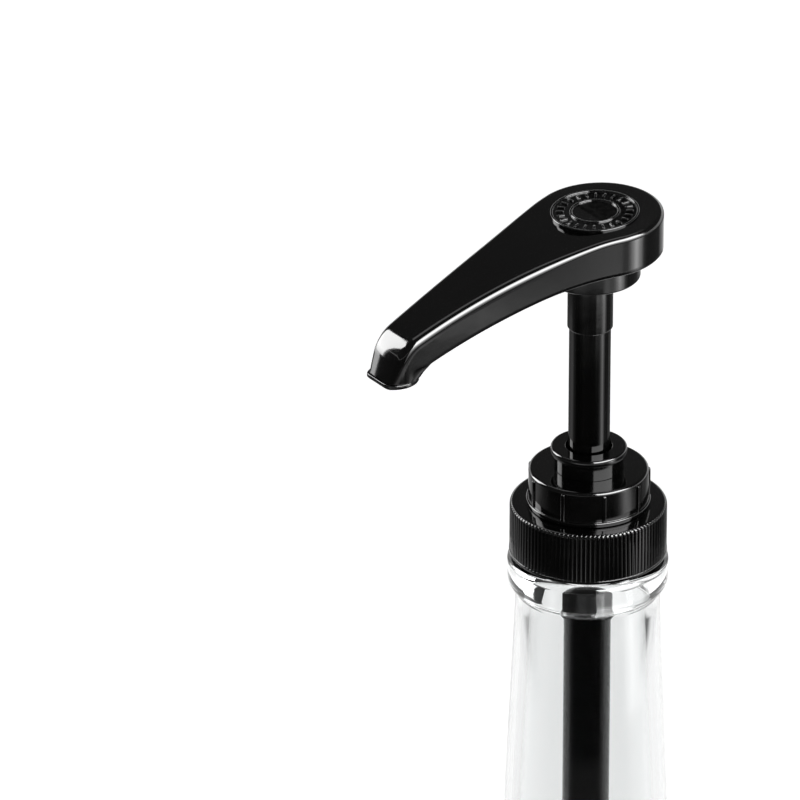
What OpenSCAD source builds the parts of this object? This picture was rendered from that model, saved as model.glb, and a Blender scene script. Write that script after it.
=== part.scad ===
// Syrup dispenser: a plunger pump with a long drooping spout on a glass bottle.
// Millimetres, +Z up, origin at the centre of the bottle's base, the arm points along +X.

/* [Bottle] */
// Height of the bottle from its base to its lip
bottle_h = 295; // [275:1:330]
// Outer diameter of the bottle body
body_d = 76; // [72:1:84]
// Thickness of the glass wall
glass_wall = 3.5; // [2.6:0.1:4]
// Thickness of the glass base
base_t = 7; // [5:0.5:10]
// Depth of the hollow under the base
punt_h = 2; // [1:0.5:3]
// Width of the flat ring that the bottle stands on
foot_w = 7; // [4:0.5:10]
// Outer radius of the corner between base and body
base_corner_r = 7; // [5:0.5:12]
// Radius of the round shoulder
shoulder_r = 45; // [30:1:60]
// Radius of the hollow curve between shoulder and neck
flare_r = 80; // [60:1:110]
// Length of the tapered neck under the bead
neck_len = 66; // [50:1:80]
// Outer diameter of the neck under the bead
neck_d = 34.7; // [33.5:0.1:36]
// Outer diameter of the neck at its foot
neck_foot_d = 40.2; // [37:0.1:44]
// Outer diameter of the bead under the closure
bead_d = 38.8; // [37:0.1:41]
// Height of the bead
bead_h = 8.6; // [7.6:0.1:10]
// Radius of the rounding under the bead
bead_round = 3.4; // [2.4:0.1:4]
// Radius of the rounding on top of the bead
bead_top_round = 1.6; // [0.8:0.1:2]
// Diameter of the mouth bore
mouth_d = 24; // [22.6:0.1:25]
// Thickness of the glass round the mouth, under the thread
finish_t = 3; // [2.6:0.1:3.4]

/* [Thread] */
// Rise of the thread for one turn
thread_pitch = 3.175; // [2.8:0.005:3.6]
// Turns of the bottle thread
thread_turns = 1.25; // [1:0.05:1.4]
// Height of the bottle thread over the finish
thread_depth = 1.1; // [0.8:0.05:1.2]
// Width of a thread at its root
thread_root_w = 1.5; // [1.2:0.05:1.6]
// Width of a thread at its crest
thread_crest_w = 0.7; // [0.5:0.05:0.9]
// Distance from the lip down to the end of the bottle thread
thread_drop = 2.1; // [1.6:0.1:2.6]
// Gap between the thread flanks
thread_gap = 0.3; // [0.2:0.05:0.5]

/* [Closure] */
// Height of the closure
closure_h = 13.1; // [12.6:0.1:14]
// Thickness of the closure's top wall
closure_top_t = 1.5; // [1.1:0.1:1.8]
// Thickness of the closure's skirt from its bore to the crests of the grip ribs
skirt_t = 2.3; // [2:0.05:2.6]
// Gap between the closure's bore and the crest of the bottle's thread
skirt_gap = 0.5; // [0.3:0.05:0.6]
// Number of grip ribs
grip_count = 108; // [72:1:120]
// Depth of the grooves between the grip ribs
grip_depth = 0.45; // [0.2:0.05:0.6]
// Height of the smooth lip below the grip ribs
lip_h = 0.8; // [0.5:0.1:1.2]
// Distance that the lip stands out from the grip ribs
lip_out = 0.1; // [0.05:0.05:0.3]
// Radius of the rounded top edge of the closure
closure_round = 0.9; // [0.4:0.1:1.2]

/* [Chaplet] */
// Diameter of the ledge that rests on the closure
ledge_d = 29.9; // [29.4:0.1:31]
// Thickness of the ledge
ledge_h = 1.1; // [0.8:0.1:1.5]
// Diameter of the tier above the ledge
tier_d = 28.9; // [28.2:0.1:29.2]
// Height of the tier above the ledge
tier_h = 7.9; // [6.5:0.1:9]
// Wall of the tier
tier_wall = 1.8; // [1.4:0.1:2]
// Radius of the rounded top edge of the tier
tier_round = 0.8; // [0.3:0.1:1.2]
// Number of ribs round the tier
tier_rib_count = 9; // [6:1:12]
// Width of a tier rib
tier_rib_w = 1; // [0.7:0.1:1.5]
// Distance from the top of a tier rib to the top of the tier
tier_rib_drop = 0.9; // [0.8:0.1:2]
// Direction of the first tier rib from the arm, in degrees
tier_rib_start = 28.8; // [0:0.1:39.9]
// Diameter of the collar that passes through the closure's top
collar_d = 24.8; // [24:0.1:25.2]
// Wall of the plug that sits in the pump housing and holds the stem guide
plug_wall = 1.2; // [0.9:0.1:1.4]

/* [Stem guide] */
// Distance that the guide's flange stands out from the guide
guide_flange_out = 0.9; // [0.5:0.1:1.5]
// Thickness of the guide's flange
guide_flange_h = 1.8; // [1.2:0.1:2.4]
// Height of the guide above the tier
guide_rise = 5.75; // [4.5:0.05:7]
// Radius of the rounded edge of the guide's flange
guide_round = 0.6; // [0.2:0.1:0.6]
// Diameter of the wide hole in the top of the guide
guide_mouth_d = 11.2; // [11.1:0.05:11.5]
// Length of the narrow bore that guides the stem
guide_bore_len = 8; // [6:0.5:9]

/* [Plunger] */
// Diameter of the stem
stem_d = 10; // [9.8:0.02:10.06]
// Bore of the stem
stem_bore_d = 5.4; // [5:0.1:5.6]
// Diameter of the stem's upper end inside the sleeve
stem_neck_d = 8.24; // [8.1:0.02:8.4]
// Outer diameter of the sleeve
sleeve_d = 10.9; // [10.7:0.02:11]
// Height of the stem's shoulder above the guide
stem_show = 31.7; // [31:0.1:36]
// Height of the skirt's lower edge above the guide
skirt_show = 45.5; // [45.3:0.1:50]
// Travel of the plunger
stroke = 45; // [30:1:45]
// Height of the chamber that the discharge valve takes in the stem
valve_room = 9.3; // [9:0.1:10]
// Radius of the discharge ball
discharge_ball_r = 2.2; // [2.1:0.05:2.3]
// Lift of the discharge ball
discharge_lift = 1.5; // [1:0.1:1.6]

/* [Pump housing] */
// Outer diameter of the housing tube
tube_d = 11.4; // [11.2:0.1:12]
// Bore of the housing tube
tube_bore_d = 10.2; // [10.12:0.02:10.3]
// Gap between the housing's flange and the closure's bore
flange_gap = 1.8; // [1.2:0.1:2.2]
// Thickness of the housing's flange
flange_t = 1; // [0.8:0.1:1.3]
// Gap between the housing's cup and the bottle's mouth
cup_gap = 1.2; // [1:0.1:1.6]
// Wall of the housing's cup and floor
cup_wall = 1.2; // [0.9:0.1:1.3]
// Depth of the cup under the flange
cup_depth = 8.6; // [8:0.1:10]
// Thickness of the seal ring on the bottle's lip
gasket_t = 1.2; // [0.8:0.1:1.4]
// Radius of the suction ball
suction_ball_r = 3; // [2.8:0.1:3.2]
// Lift of the suction ball
suction_lift = 2; // [1.5:0.1:2.5]
// Outer diameter of the dip tube
dip_d = 8; // [7:0.1:8.4]
// Wall of the dip tube
dip_wall = 1; // [0.7:0.1:1.2]
// Gap between the dip tube and the bottle's floor
dip_clear = 5; // [3:0.5:10]

/* [Return spring] */
// Diameter of the spring's wire
wire_d = 0.9; // [0.7:0.05:1]
// Mean diameter of the coils
coil_d = 7.8; // [7.4:0.1:8]
// Number of turns
spring_turns = 14; // [10:1:16]

/* [Head] */
// Radius of the round end of the head
end_r = 15.7; // [15:0.1:17]
// Distance of the round end's centre behind the stem axis
end_back = 2; // [1:0.1:3]
// Distance from the stem axis to the spout axis
reach = 57.3; // [55:0.1:62]
// Radius of the spout
nose_r = 5.65; // [5.4:0.05:6]
// Distance from the spout axis to the flat front of the nose
nose_front = 4; // [3.6:0.1:4.4]
// Radius of the hollow curve along the sides of the arm
side_r = 272; // [200:1:400]
// Tilt of the top round the badge, in degrees
top_tilt = 2.6; // [1:0.1:3]
// Tilt of the top where the arm starts, in degrees
arm_tilt = 11.8; // [10:0.1:13]
// Tilt of the top at the end of the arm, in degrees
nose_tilt = 23.2; // [21:0.1:24]
// Tilt of the front of the nose, in degrees
front_tilt = 72; // [70:0.5:78]
// Radius of the roll over the nose
roll_r = 9.5; // [8:0.1:10]
// Height from the foot of the spout to the end of the arm's long curve
nose_drop = 10.4; // [9.8:0.1:11]
// Height of the badge's rings above the skirt's lower edge
badge_rise = 16.5; // [16:0.1:17]
// Height of the round end
end_h = 10; // [9.6:0.1:10.5]
// Wall of the head's shell
shell_t = 1.2; // [1:0.1:1.3]
// Thickness of the head's underside
under_t = 1.2; // [1:0.1:1.3]
// Outer diameter of the skirt
skirt_d = 23.8; // [23:0.1:25]
// Wall of the skirt
skirt_wall = 1.5; // [1.2:0.1:2]
// Outer diameter of the stem socket
socket_d = 13.2; // [12.8:0.1:14]
// Thickness of the flange under the spout
spout_flange_t = 1.1; // [0.8:0.05:1.3]
// Distance that the spout's flange stands out
spout_flange_out = 0.6; // [0.3:0.05:0.8]
// Diameter of the outlet bore
outlet_d = 3.4; // [3:0.1:3.5]
// Outer diameter of the spout tube
channel_d = 3.8; // [3.6:0.1:3.9]
// Bore of the spout tube
channel_bore_d = 3; // [2.6:0.1:3.1]

/* [Badge] */
// Outer diameter of the badge
badge_d = 21.2; // [20:0.1:22.4]
// Distance of the badge's centre behind the stem axis
badge_back = 1.1; // [0.6:0.1:2]
// Depth of the badge's seat
badge_seat = 0.7; // [0.4:0.05:0.7]
// Height of the badge's rings over its face
badge_relief = 0.45; // [0.2:0.05:0.5]
// Width of the badge's rings
badge_ring_w = 0.6; // [0.4:0.05:0.8]
// Diameter of the inner ring
badge_inner_d = 12; // [10:0.1:14]
// Number of ticks between the rings
badge_ticks = 24; // [12:1:36]

/* [Fits] */
// Gap between pieces that rest on each other
seat_gap = 0.05; // [0.02:0.01:0.1]
// Radial gap of pieces that turn or slide in each other
run_gap = 0.04; // [0.02:0.01:0.08]
// Gap above and below the closure's top wall
turn_gap = 0.1; // [0.05:0.01:0.15]

/* [Hidden] */
$fn = 96;
eps = 0.01;
black_plastic = [0.05, 0.05, 0.055];
clear_glass = [0.82, 0.9, 0.9, 0.35];

// Heights of the stack, from the bottle's lip up
flange_z = bottle_h + seat_gap + gasket_t;
flange_top_z = flange_z + flange_t;
closure_top_z = flange_top_z + turn_gap + closure_top_t;
closure_z = closure_top_z - closure_h;
ledge_z = closure_top_z + turn_gap;
tier_z = ledge_z + ledge_h;
tier_top_z = tier_z + tier_h;
guide_top_z = tier_top_z + guide_rise;
shoulder_top_z = guide_top_z + stem_show;
skirt_z = guide_top_z + skirt_show;

// Housing, from the flange down
cup_floor_z = flange_top_z - cup_depth;
mouth_r = mouth_d / 2;
cup_r = mouth_r - cup_gap - cup_wall;
plug_r = cup_r - seat_gap;
guide_seat_r = plug_r - plug_wall;
guide_r = guide_seat_r - seat_gap;
tube_r = tube_d / 2;
tube_bore_r = tube_bore_d / 2;
guide_z = cup_floor_z + seat_gap;
bore_top_z = guide_z + guide_bore_len;
wiper_h = 1.8;
wiper_r = 6.6;

// Piston: the collar stops under the guide at rest
piston_stop_gap = 0.3;
piston_z = guide_z - piston_stop_gap;
piston_r = tube_bore_r - run_gap;
piston_collar_h = 1.2;
seal_len = 6;
seal_core_r = 3.6;
piston_foot_h = 1.5;
piston_nose_len = 4;
piston_nose_r = coil_d / 2 - wire_d / 2 - 0.6;
piston_bore_r = 1.8;
piston_plug_len = 7;
spring_top_z = piston_z - piston_collar_h - seal_len - piston_foot_h;
spring_solid = wire_d * (spring_turns + 1) + 2;
cage_top_z = spring_top_z - stroke - spring_solid;
cage_h = 5;
cage_z = cage_top_z - cage_h;

// Valve seats are cones at 45 degrees, given by the height of their point
seat_slope = sqrt(2);
suction_hole_r = 1.8;
suction_gap = 0.3;
suction_ball_z = cage_z - suction_gap - suction_lift - suction_ball_r;
suction_point_z = suction_ball_z - (suction_ball_r + seat_gap) * seat_slope;
inlet_len = 3;
dip_socket_len = 8;
dip_top_z = suction_point_z + suction_hole_r - inlet_len;
housing_z = dip_top_z - dip_socket_len;
dip_r = dip_d / 2;

// Sleeve, socket and discharge valve
sleeve_r = sleeve_d / 2;
sleeve_bore_r = stem_neck_d / 2 + run_gap;
socket_z = skirt_z + 1;
sleeve_z = shoulder_top_z + seat_gap;
sleeve_seat_len = 5;
socket_top_wall = 1;

// Profile of the head: a chain of arcs along X, each point as [x, z]
function arc_end(p, from, to, r) = [p[0] + r * (sin(to) - sin(from)), p[1] - r * (cos(from) - cos(to))];
function arc_points(p, from, to, r, steps) =
    [for (i = [1:steps]) arc_end(p, from, from + (to - from) * i / steps, r)];
function along(p, tilt, x) = [x, p[1] - (x - p[0]) * tan(tilt)];

badge_ring_z = skirt_z + badge_rise;
end_x = -end_back;
head_back_x = end_x - end_r - 2;
top_mid = [-badge_back, badge_ring_z - badge_relief];
top_flat_x = 0.9;
arm_start_x = 8.2;
arm_end_x = reach - 2.8;
start_r = (arm_start_x - top_flat_x) / (sin(arm_tilt) - sin(top_tilt));
arm_r = (arm_end_x - arm_start_x) / (sin(nose_tilt) - sin(arm_tilt));
top_a = along(top_mid, top_tilt, top_flat_x);
top_b = arc_end(top_a, top_tilt, arm_tilt, start_r);
top_c = arc_end(top_b, arm_tilt, nose_tilt, arm_r);
top_d = arc_end(top_c, nose_tilt, front_tilt, roll_r);
spout_z = top_c[1] - nose_drop;
nose_front_x = reach + nose_front;

under_tilts = [3, 15, 22];
under_mid_x = 22;
under_start_x = 4;
under_mid = [top_mid[0], top_mid[1] - end_h];
under_a = along(under_mid, under_tilts[0], under_start_x);
under_r1 = (under_mid_x - under_start_x) / (sin(under_tilts[1]) - sin(under_tilts[0]));
under_b = arc_end(under_a, under_tilts[0], under_tilts[1], under_r1);
spout_back_x = reach - nose_r;
under_r2 = (spout_back_x - under_mid_x) / (sin(under_tilts[2]) - sin(under_tilts[1]));
under_c = arc_end(under_b, under_tilts[1], under_tilts[2], under_r2);

// Top edge of the head, set down by inset, its front carried down to the height low
function top_line(inset, low) =
    let (a = [top_mid[0], top_mid[1] - inset / cos(top_tilt)],
         b = [top_a[0] - inset * sin(top_tilt), top_a[1] - inset * cos(top_tilt)],
         c = [top_b[0] - inset * sin(arm_tilt), top_b[1] - inset * cos(arm_tilt)],
         d = [top_c[0] - inset * sin(nose_tilt), top_c[1] - inset * cos(nose_tilt)],
         e = [top_d[0] - inset * sin(front_tilt), top_d[1] - inset * cos(front_tilt)])
    concat([along(a, top_tilt, head_back_x), b],
           arc_points(b, top_tilt, arm_tilt, start_r - inset, 4),
           arc_points(c, arm_tilt, nose_tilt, arm_r - inset, 12),
           arc_points(d, nose_tilt, front_tilt, roll_r - inset, 8),
           [[e[0] + (e[1] - low) / tan(front_tilt), low]]);

// Lower edge of the head, set up by rise, from the spout back to the round end
function under_line(rise) =
    let (a = [under_a[0], under_a[1] + rise],
         points = concat([along(a, under_tilts[0], head_back_x), a],
                         arc_points(a, under_tilts[0], under_tilts[1], under_r1, 6),
                         arc_points([under_b[0], under_b[1] + rise],
                                    under_tilts[1], under_tilts[2], under_r2, 8)))
    [for (i = [len(points) - 1:-1:0]) points[i]];

spout_fillet = 1.6;
margin = 10;

// Plan of the head: two circles joined by hollow arcs that touch both
side_span = reach - end_x;
side_along = (pow(end_r + side_r, 2) - pow(nose_r + side_r, 2) + pow(side_span, 2)) / (2 * side_span);
side_x = end_x + side_along;
side_y = sqrt(pow(end_r + side_r, 2) - pow(side_along, 2));
function touch(x, r) = [x + r * (side_x - x) / (r + side_r), side_y * r / (r + side_r)];

module mirrored_y() {
    children();
    mirror([0, 1, 0]) children();
}

module head_plan(inset) {
    translate([end_x, 0]) circle(r = end_r - inset);
    translate([reach, 0]) circle(r = nose_r - inset);
    a = touch(end_x, end_r);
    b = touch(reach, nose_r);
    difference() {
        polygon([[end_x, -end_r + inset], [a[0], -a[1]], [b[0], -b[1]], b, a, [end_x, end_r - inset]]);
        mirrored_y() translate([side_x, side_y]) circle(r = side_r + inset, $fn = 720);
    }
}

module upright(points) {
    y_span = 2 * end_r + margin;
    translate([0, y_span / 2, 0]) rotate([90, 0, 0]) linear_extrude(y_span) polygon(points);
}

module head_prism(inset) {
    translate([0, 0, spout_z - margin]) linear_extrude(badge_ring_z - spout_z + 2 * margin) head_plan(inset);
}

module ring(outer_r, inner_r, z, h) {
    translate([0, 0, z]) difference() {
        cylinder(r = outer_r, h = h);
        translate([0, 0, -1]) cylinder(r = inner_r, h = h + 2);
    }
}

function round_points(x, z, r, from, to, steps) =
    [for (i = [0:steps]) let (a = from + (to - from) * i / steps) [x + r * cos(a), z + r * sin(a)]];

// One thread flight: a trapezoid swept round a helix, its crest running out at both ends
module thread(root_r, crest_r, z, turns) {
    per_turn = 24;
    steps = round(turns * per_turn);
    runout = 2;
    least_rise = 0.05;
    function rise(i) = max(min(1, i / runout, (steps - i) / runout), least_rise);
    function crest(i) = root_r + (crest_r - root_r) * rise(i);
    points = [for (i = [0:steps])
        let (a = 360 * i / per_turn, zc = z + thread_pitch * i / per_turn)
        for (s = [[root_r, -thread_root_w / 2], [crest(i), -thread_crest_w / 2],
                  [crest(i), thread_crest_w / 2], [root_r, thread_root_w / 2]])
            [s[0] * cos(a), s[0] * sin(a), zc + s[1]]];
    outward = crest_r > root_r;
    sides = [for (i = [0:steps - 1]) for (j = [0:3])
        let (a = 4 * i + j, b = 4 * i + (j + 1) % 4)
        outward ? [a, b, b + 4, a + 4] : [a + 4, b + 4, b, a]];
    last = 4 * steps;
    caps = outward ? [[3, 2, 1, 0], [last, last + 1, last + 2, last + 3]]
                   : [[0, 1, 2, 3], [last + 3, last + 2, last + 1, last]];
    split = [for (f = sides) each [[f[0], f[1], f[2]], [f[0], f[2], f[3]]]];
    cap_split = [for (f = caps) each [[f[0], f[1], f[2]], [f[0], f[2], f[3]]]];
    polyhedron(points, concat(split, cap_split));
}

// Bottle finish: the mouth sets the finish, the finish sets the thread, and the thread sets the closure
finish_r = mouth_r + finish_t;
thread_crest_r = finish_r + thread_depth;
closure_bore_r = thread_crest_r + skirt_gap;
closure_r = closure_bore_r + skirt_t;
flange_r = closure_bore_r - flange_gap;
thread_sink = 0.2;
thread_z = bottle_h - thread_drop - thread_turns * thread_pitch;
bead_top_z = closure_z - 0.9;
bead_z = bead_top_z - bead_h;
neck_z = bead_z - neck_len;
neck_slope = atan((neck_foot_d - neck_d) / 2 / neck_len);
shoulder_in = (body_d - neck_foot_d) / 2;
shoulder_turn = acos((shoulder_r + flare_r * cos(neck_slope) - shoulder_in) / (shoulder_r + flare_r));
shoulder_x = body_d / 2 - shoulder_r;
shoulder_z = neck_z - (shoulder_r + flare_r) * sin(shoulder_turn) + flare_r * sin(neck_slope);
flare_x = shoulder_x + (shoulder_r + flare_r) * cos(shoulder_turn);
flare_z = shoulder_z + (shoulder_r + flare_r) * sin(shoulder_turn);
bead_r = bead_d / 2;
neck_bore_r = neck_d / 2 - glass_wall;

module bottle_outside() {
    rotate_extrude() polygon(concat(
        [[0, 0]],
        round_points(body_d / 2 - base_corner_r, base_corner_r, base_corner_r, -90, 0, 6),
        round_points(shoulder_x, shoulder_z, shoulder_r, 0, shoulder_turn, 10),
        round_points(flare_x, flare_z, flare_r, 180 + shoulder_turn, 180 + neck_slope, 10),
        [[neck_d / 2, bead_z - 0.8], [neck_d / 2 + 0.3, bead_z]],
        round_points(bead_r - bead_round, bead_z + bead_round - 0.4, bead_round, -60, 0, 6),
        round_points(bead_r - bead_top_round, bead_top_z - bead_top_round, bead_top_round, 0, 90, 4),
        [[finish_r, bead_top_z], [finish_r, bottle_h - 0.6], [finish_r - 0.6, bottle_h], [0, bottle_h]]));
}

module bottle_inside() {
    floor_z = punt_h + base_t;
    corner_r = base_corner_r - 2;
    corner_x = body_d / 2 - glass_wall - corner_r;
    rotate_extrude() polygon(concat(
        [[0, floor_z]],
        round_points(corner_x, floor_z + corner_r, corner_r, -90, 0, 6),
        round_points(shoulder_x, shoulder_z, shoulder_r - glass_wall, 0, shoulder_turn, 10),
        round_points(flare_x, flare_z, flare_r + glass_wall, 180 + shoulder_turn, 180 + neck_slope, 10),
        [[neck_bore_r, bead_z], [mouth_r, bead_top_z], [mouth_r, bottle_h + 1],
         [0, bottle_h + 1]]));
}

module bottle() {
    foot_r = body_d / 2 - base_corner_r;
    color(clear_glass) difference() {
        union() {
            bottle_outside();
            thread(finish_r - thread_sink, thread_crest_r, thread_z, thread_turns);
        }
        bottle_inside();
        translate([0, 0, -eps])
            cylinder(r1 = foot_r - foot_w, r2 = foot_r - foot_w - punt_h, h = punt_h + eps);
    }
}

// Closure
closure_hole_r = collar_d / 2 + 2 * run_gap;

// The closure's thread lies under the bottle's thread and reaches past its crest
thread_bite = 0.65;
flank_slope = (thread_root_w - thread_crest_w) / 2 / (thread_depth + thread_sink);
inner_crest_r = thread_crest_r - thread_bite;
inner_thread_z = thread_z - thread_crest_w - flank_slope * thread_bite - thread_gap;

// One groove and one rib, as [share of the step, radius]
module grip_outline() {
    step = 360 / grip_count;
    valley_r = closure_r - grip_depth;
    profile = [[0, valley_r], [0.2, closure_r], [0.65, closure_r], [0.85, valley_r]];
    polygon([for (i = [0:grip_count - 1]) for (k = profile)
        [k[1] * cos((i + k[0]) * step), k[1] * sin((i + k[0]) * step)]]);
}

module closure_body() {
    past_crest = 0.07;
    round_z = closure_h - closure_round;
    difference() {
        union() {
            intersection() {
                translate([0, 0, closure_z]) linear_extrude(closure_h) grip_outline();
                translate([0, 0, closure_z]) rotate_extrude() polygon(concat(
                    [[0, 0], [closure_r + 1, 0]],
                    round_points(closure_r + past_crest - closure_round, round_z, closure_round, 0, 90, 5),
                    [[0, closure_h]]));
            }
            translate([0, 0, closure_z]) cylinder(r = closure_r + lip_out, h = lip_h);
        }
        translate([0, 0, closure_z - 1]) cylinder(r = closure_bore_r, h = closure_h - closure_top_t + 1);
        translate([0, 0, closure_z]) cylinder(r = closure_hole_r, h = closure_h + 1);
    }
}

module closure() {
    color(black_plastic) union() {
        closure_body();
        thread(closure_bore_r + thread_sink, inner_crest_r, inner_thread_z, thread_turns);
    }
}

module closure_gasket() {
    color("gainsboro") ring(finish_r - 0.2, mouth_r, bottle_h + seat_gap, gasket_t);
}

// Pump housing: flange, cup, tube, suction seat and dip tube socket in one moulding
module pump_housing() {
    color(black_plastic) difference() {
        rotate_extrude() polygon([
            [0, housing_z], [tube_r, housing_z], [tube_r, cup_floor_z - cup_wall - 1.5],
            [cup_r + cup_wall, cup_floor_z - cup_wall + 1], [cup_r + cup_wall, flange_z],
            [flange_r, flange_z], [flange_r, flange_top_z], [0, flange_top_z]]);
        translate([0, 0, cup_floor_z]) cylinder(r = cup_r, h = cup_depth + 1);
        translate([0, 0, suction_point_z + tube_bore_r])
            cylinder(r = tube_bore_r, h = cup_floor_z - suction_point_z);
        translate([0, 0, suction_point_z]) cylinder(r1 = 0, r2 = tube_bore_r, h = tube_bore_r);
        translate([0, 0, housing_z]) cylinder(r = suction_hole_r, h = inlet_len + dip_socket_len + 1);
        translate([0, 0, housing_z - 1]) cylinder(r = dip_r + seat_gap, h = dip_socket_len + 1);
    }
}

module chaplet() {
    collar_r = collar_d / 2;
    tier_r = tier_d / 2;
    hollow_top_z = tier_top_z - tier_wall;
    hollow_r = tier_r - tier_wall;
    spigot_r = collar_r - 1.2;
    rib_top_z = tier_top_z - tier_rib_drop;
    rib_root = 0.4;
    color(black_plastic) {
        rotate_extrude() polygon(concat(
            [[guide_seat_r, guide_z], [plug_r, guide_z], [plug_r, hollow_top_z],
             [hollow_r, hollow_top_z], [hollow_r, tier_z], [spigot_r, tier_z], [spigot_r, flange_top_z],
             [collar_r, flange_top_z], [collar_r, ledge_z], [ledge_d / 2, ledge_z],
             [ledge_d / 2, tier_z], [tier_r, tier_z]],
            round_points(tier_r - tier_round, tier_top_z - tier_round, tier_round, 0, 90, 5),
            [[guide_seat_r, tier_top_z]]));
        for (i = [0:tier_rib_count - 1])
            rotate([0, 0, tier_rib_start + i * 360 / tier_rib_count])
                translate([tier_r - rib_root, -tier_rib_w / 2, tier_z - eps])
                    cube([ledge_d / 2 - tier_r + rib_root - 0.1, tier_rib_w, rib_top_z - tier_z]);
    }
}

module stem_guide() {
    rim_r = guide_r + guide_flange_out;
    bore_r = stem_d / 2 + run_gap;
    guide_mouth_r = guide_mouth_d / 2;
    lower_z = guide_top_z - guide_flange_h;
    color(black_plastic) difference() {
        rotate_extrude() polygon(concat(
            [[bore_r, guide_z], [guide_r, guide_z], [guide_r, lower_z], [rim_r, lower_z]],
            round_points(rim_r - guide_round, guide_top_z - guide_round, guide_round, 0, 90, 5),
            [[guide_mouth_r, guide_top_z], [guide_mouth_r, bore_top_z], [bore_r, bore_top_z]]));
        translate([0, 0, bore_top_z]) cylinder(r = wiper_r, h = wiper_h);
    }
}

module stem_wiper() {
    color("dimgray")
        ring(wiper_r - seat_gap, stem_d / 2 + run_gap, bore_top_z + seat_gap, wiper_h - 2 * seat_gap);
}

// Plunger
stem_bore_r = stem_bore_d / 2;
valve_bore_r = 3.3;
stem_in_socket = 8;
stem_top_z = socket_z + stem_in_socket;
valve_floor_z = stem_top_z - valve_room;
discharge_hole_r = 1.3;
seat_top_h = 3.5;
discharge_point_z = valve_floor_z + 0.6;
discharge_ball_z = discharge_point_z + (discharge_ball_r + seat_gap) * seat_slope;
stop_z = discharge_ball_z + discharge_ball_r + discharge_lift + 0.2;
stop_h = 1.2;

module stem() {
    color(black_plastic) difference() {
        union() {
            translate([0, 0, piston_z]) cylinder(r = stem_d / 2, h = shoulder_top_z - piston_z);
            translate([0, 0, piston_z]) cylinder(r = stem_neck_d / 2, h = stem_top_z - piston_z);
        }
        translate([0, 0, piston_z - 1]) cylinder(r = stem_bore_r, h = stem_top_z - piston_z + 2);
        translate([0, 0, valve_floor_z]) cylinder(r = valve_bore_r, h = valve_room + 1);
    }
}

module piston_carrier() {
    core_top_z = piston_z - piston_collar_h;
    foot_z = core_top_z - seal_len - piston_foot_h;
    nose_z = foot_z - piston_nose_len;
    plug_top_z = piston_z + piston_plug_len;
    foot_r = piston_r - 0.3;
    color("ivory") difference() {
        union() {
            translate([0, 0, core_top_z]) cylinder(r = piston_r, h = piston_collar_h);
            translate([0, 0, foot_z]) cylinder(r = seal_core_r, h = core_top_z - foot_z + eps);
            translate([0, 0, foot_z]) cylinder(r = foot_r, h = piston_foot_h);
            translate([0, 0, nose_z]) cylinder(r = piston_nose_r, h = piston_nose_len + eps);
            translate([0, 0, piston_z - eps]) cylinder(r = stem_bore_r - run_gap, h = piston_plug_len + eps);
        }
        translate([0, 0, nose_z - 1]) cylinder(r = piston_bore_r, h = plug_top_z - nose_z + 2);
    }
}

// Two sealing lips with a groove between them
module piston_seal() {
    low_z = piston_z - piston_collar_h - seal_len + seat_gap;
    high_z = low_z + seal_len - 2 * seat_gap;
    lip = 1.2;
    groove_r = piston_r - 0.6;
    core_r = seal_core_r + seat_gap;
    color("white") rotate_extrude() polygon([
        [core_r, low_z], [piston_r, low_z], [piston_r, low_z + lip], [groove_r, low_z + lip + 0.8],
        [groove_r, high_z - lip - 0.8], [piston_r, high_z - lip], [piston_r, high_z], [core_r, high_z]]);
}

// Return spring: one wire, its end turns closer together
spring_low_z = cage_top_z + seat_gap + wire_d / 2;
spring_high_z = spring_top_z - seat_gap - wire_d / 2;
end_turns = 1;
end_pitch = wire_d + 0.5;
mid_turns = spring_turns - 2 * end_turns;
mid_pitch = (spring_high_z - spring_low_z - 2 * end_turns * end_pitch) / mid_turns;
function coil_z(t) =
    spring_low_z + end_pitch * min(t, end_turns)
    + mid_pitch * min(max(t - end_turns, 0), mid_turns)
    + end_pitch * max(t - mid_turns - end_turns, 0);
coil_steps = 8;
coil_sides = 6;
coil_rings = spring_turns * coil_steps;

module return_spring() {
    points = [for (i = [0:coil_rings]) for (j = [0:coil_sides - 1])
        let (a = 360 * i / coil_steps, b = 360 * j / coil_sides, r = coil_d / 2 + wire_d / 2 * cos(b))
        [r * cos(a), r * sin(a), coil_z(i / coil_steps) + wire_d / 2 * sin(b)]];
    last = coil_rings * coil_sides;
    faces = concat(
        [for (i = [0:coil_rings - 1]) for (j = [0:coil_sides - 1])
            let (a = i * coil_sides + j, b = i * coil_sides + (j + 1) % coil_sides)
            each [[a, b, b + coil_sides], [a, b + coil_sides, a + coil_sides]]],
        [for (j = [1:coil_sides - 2]) [0, j + 1, j]],
        [for (j = [1:coil_sides - 2]) [last, last + j, last + j + 1]]);
    color("silver") polyhedron(points, faces);
}

// A disc with four flow holes, hollowed from below round a post that stops the ball
module ball_cage() {
    hole_r = 1.1;
    hole_circle_r = 2.9;
    post_r = 1.6;
    hollow_h = cage_h - 2;
    color("ivory") difference() {
        translate([0, 0, cage_z]) cylinder(r = tube_bore_r - seat_gap, h = cage_h);
        for (i = [0:3])
            rotate([0, 0, 90 * i]) translate([hole_circle_r, 0, cage_z - 1])
                cylinder(r = hole_r, h = cage_h + 2);
        ring(hole_circle_r + hole_r + 0.3, post_r, cage_z - 1, hollow_h + 1);
    }
}

module suction_ball() {
    color("silver") translate([0, 0, suction_ball_z]) sphere(r = suction_ball_r);
}

module dip_tube() {
    low_z = punt_h + base_t + dip_clear;
    color(black_plastic) ring(dip_r, dip_r - dip_wall, low_z, dip_top_z - seat_gap - low_z);
}

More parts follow.
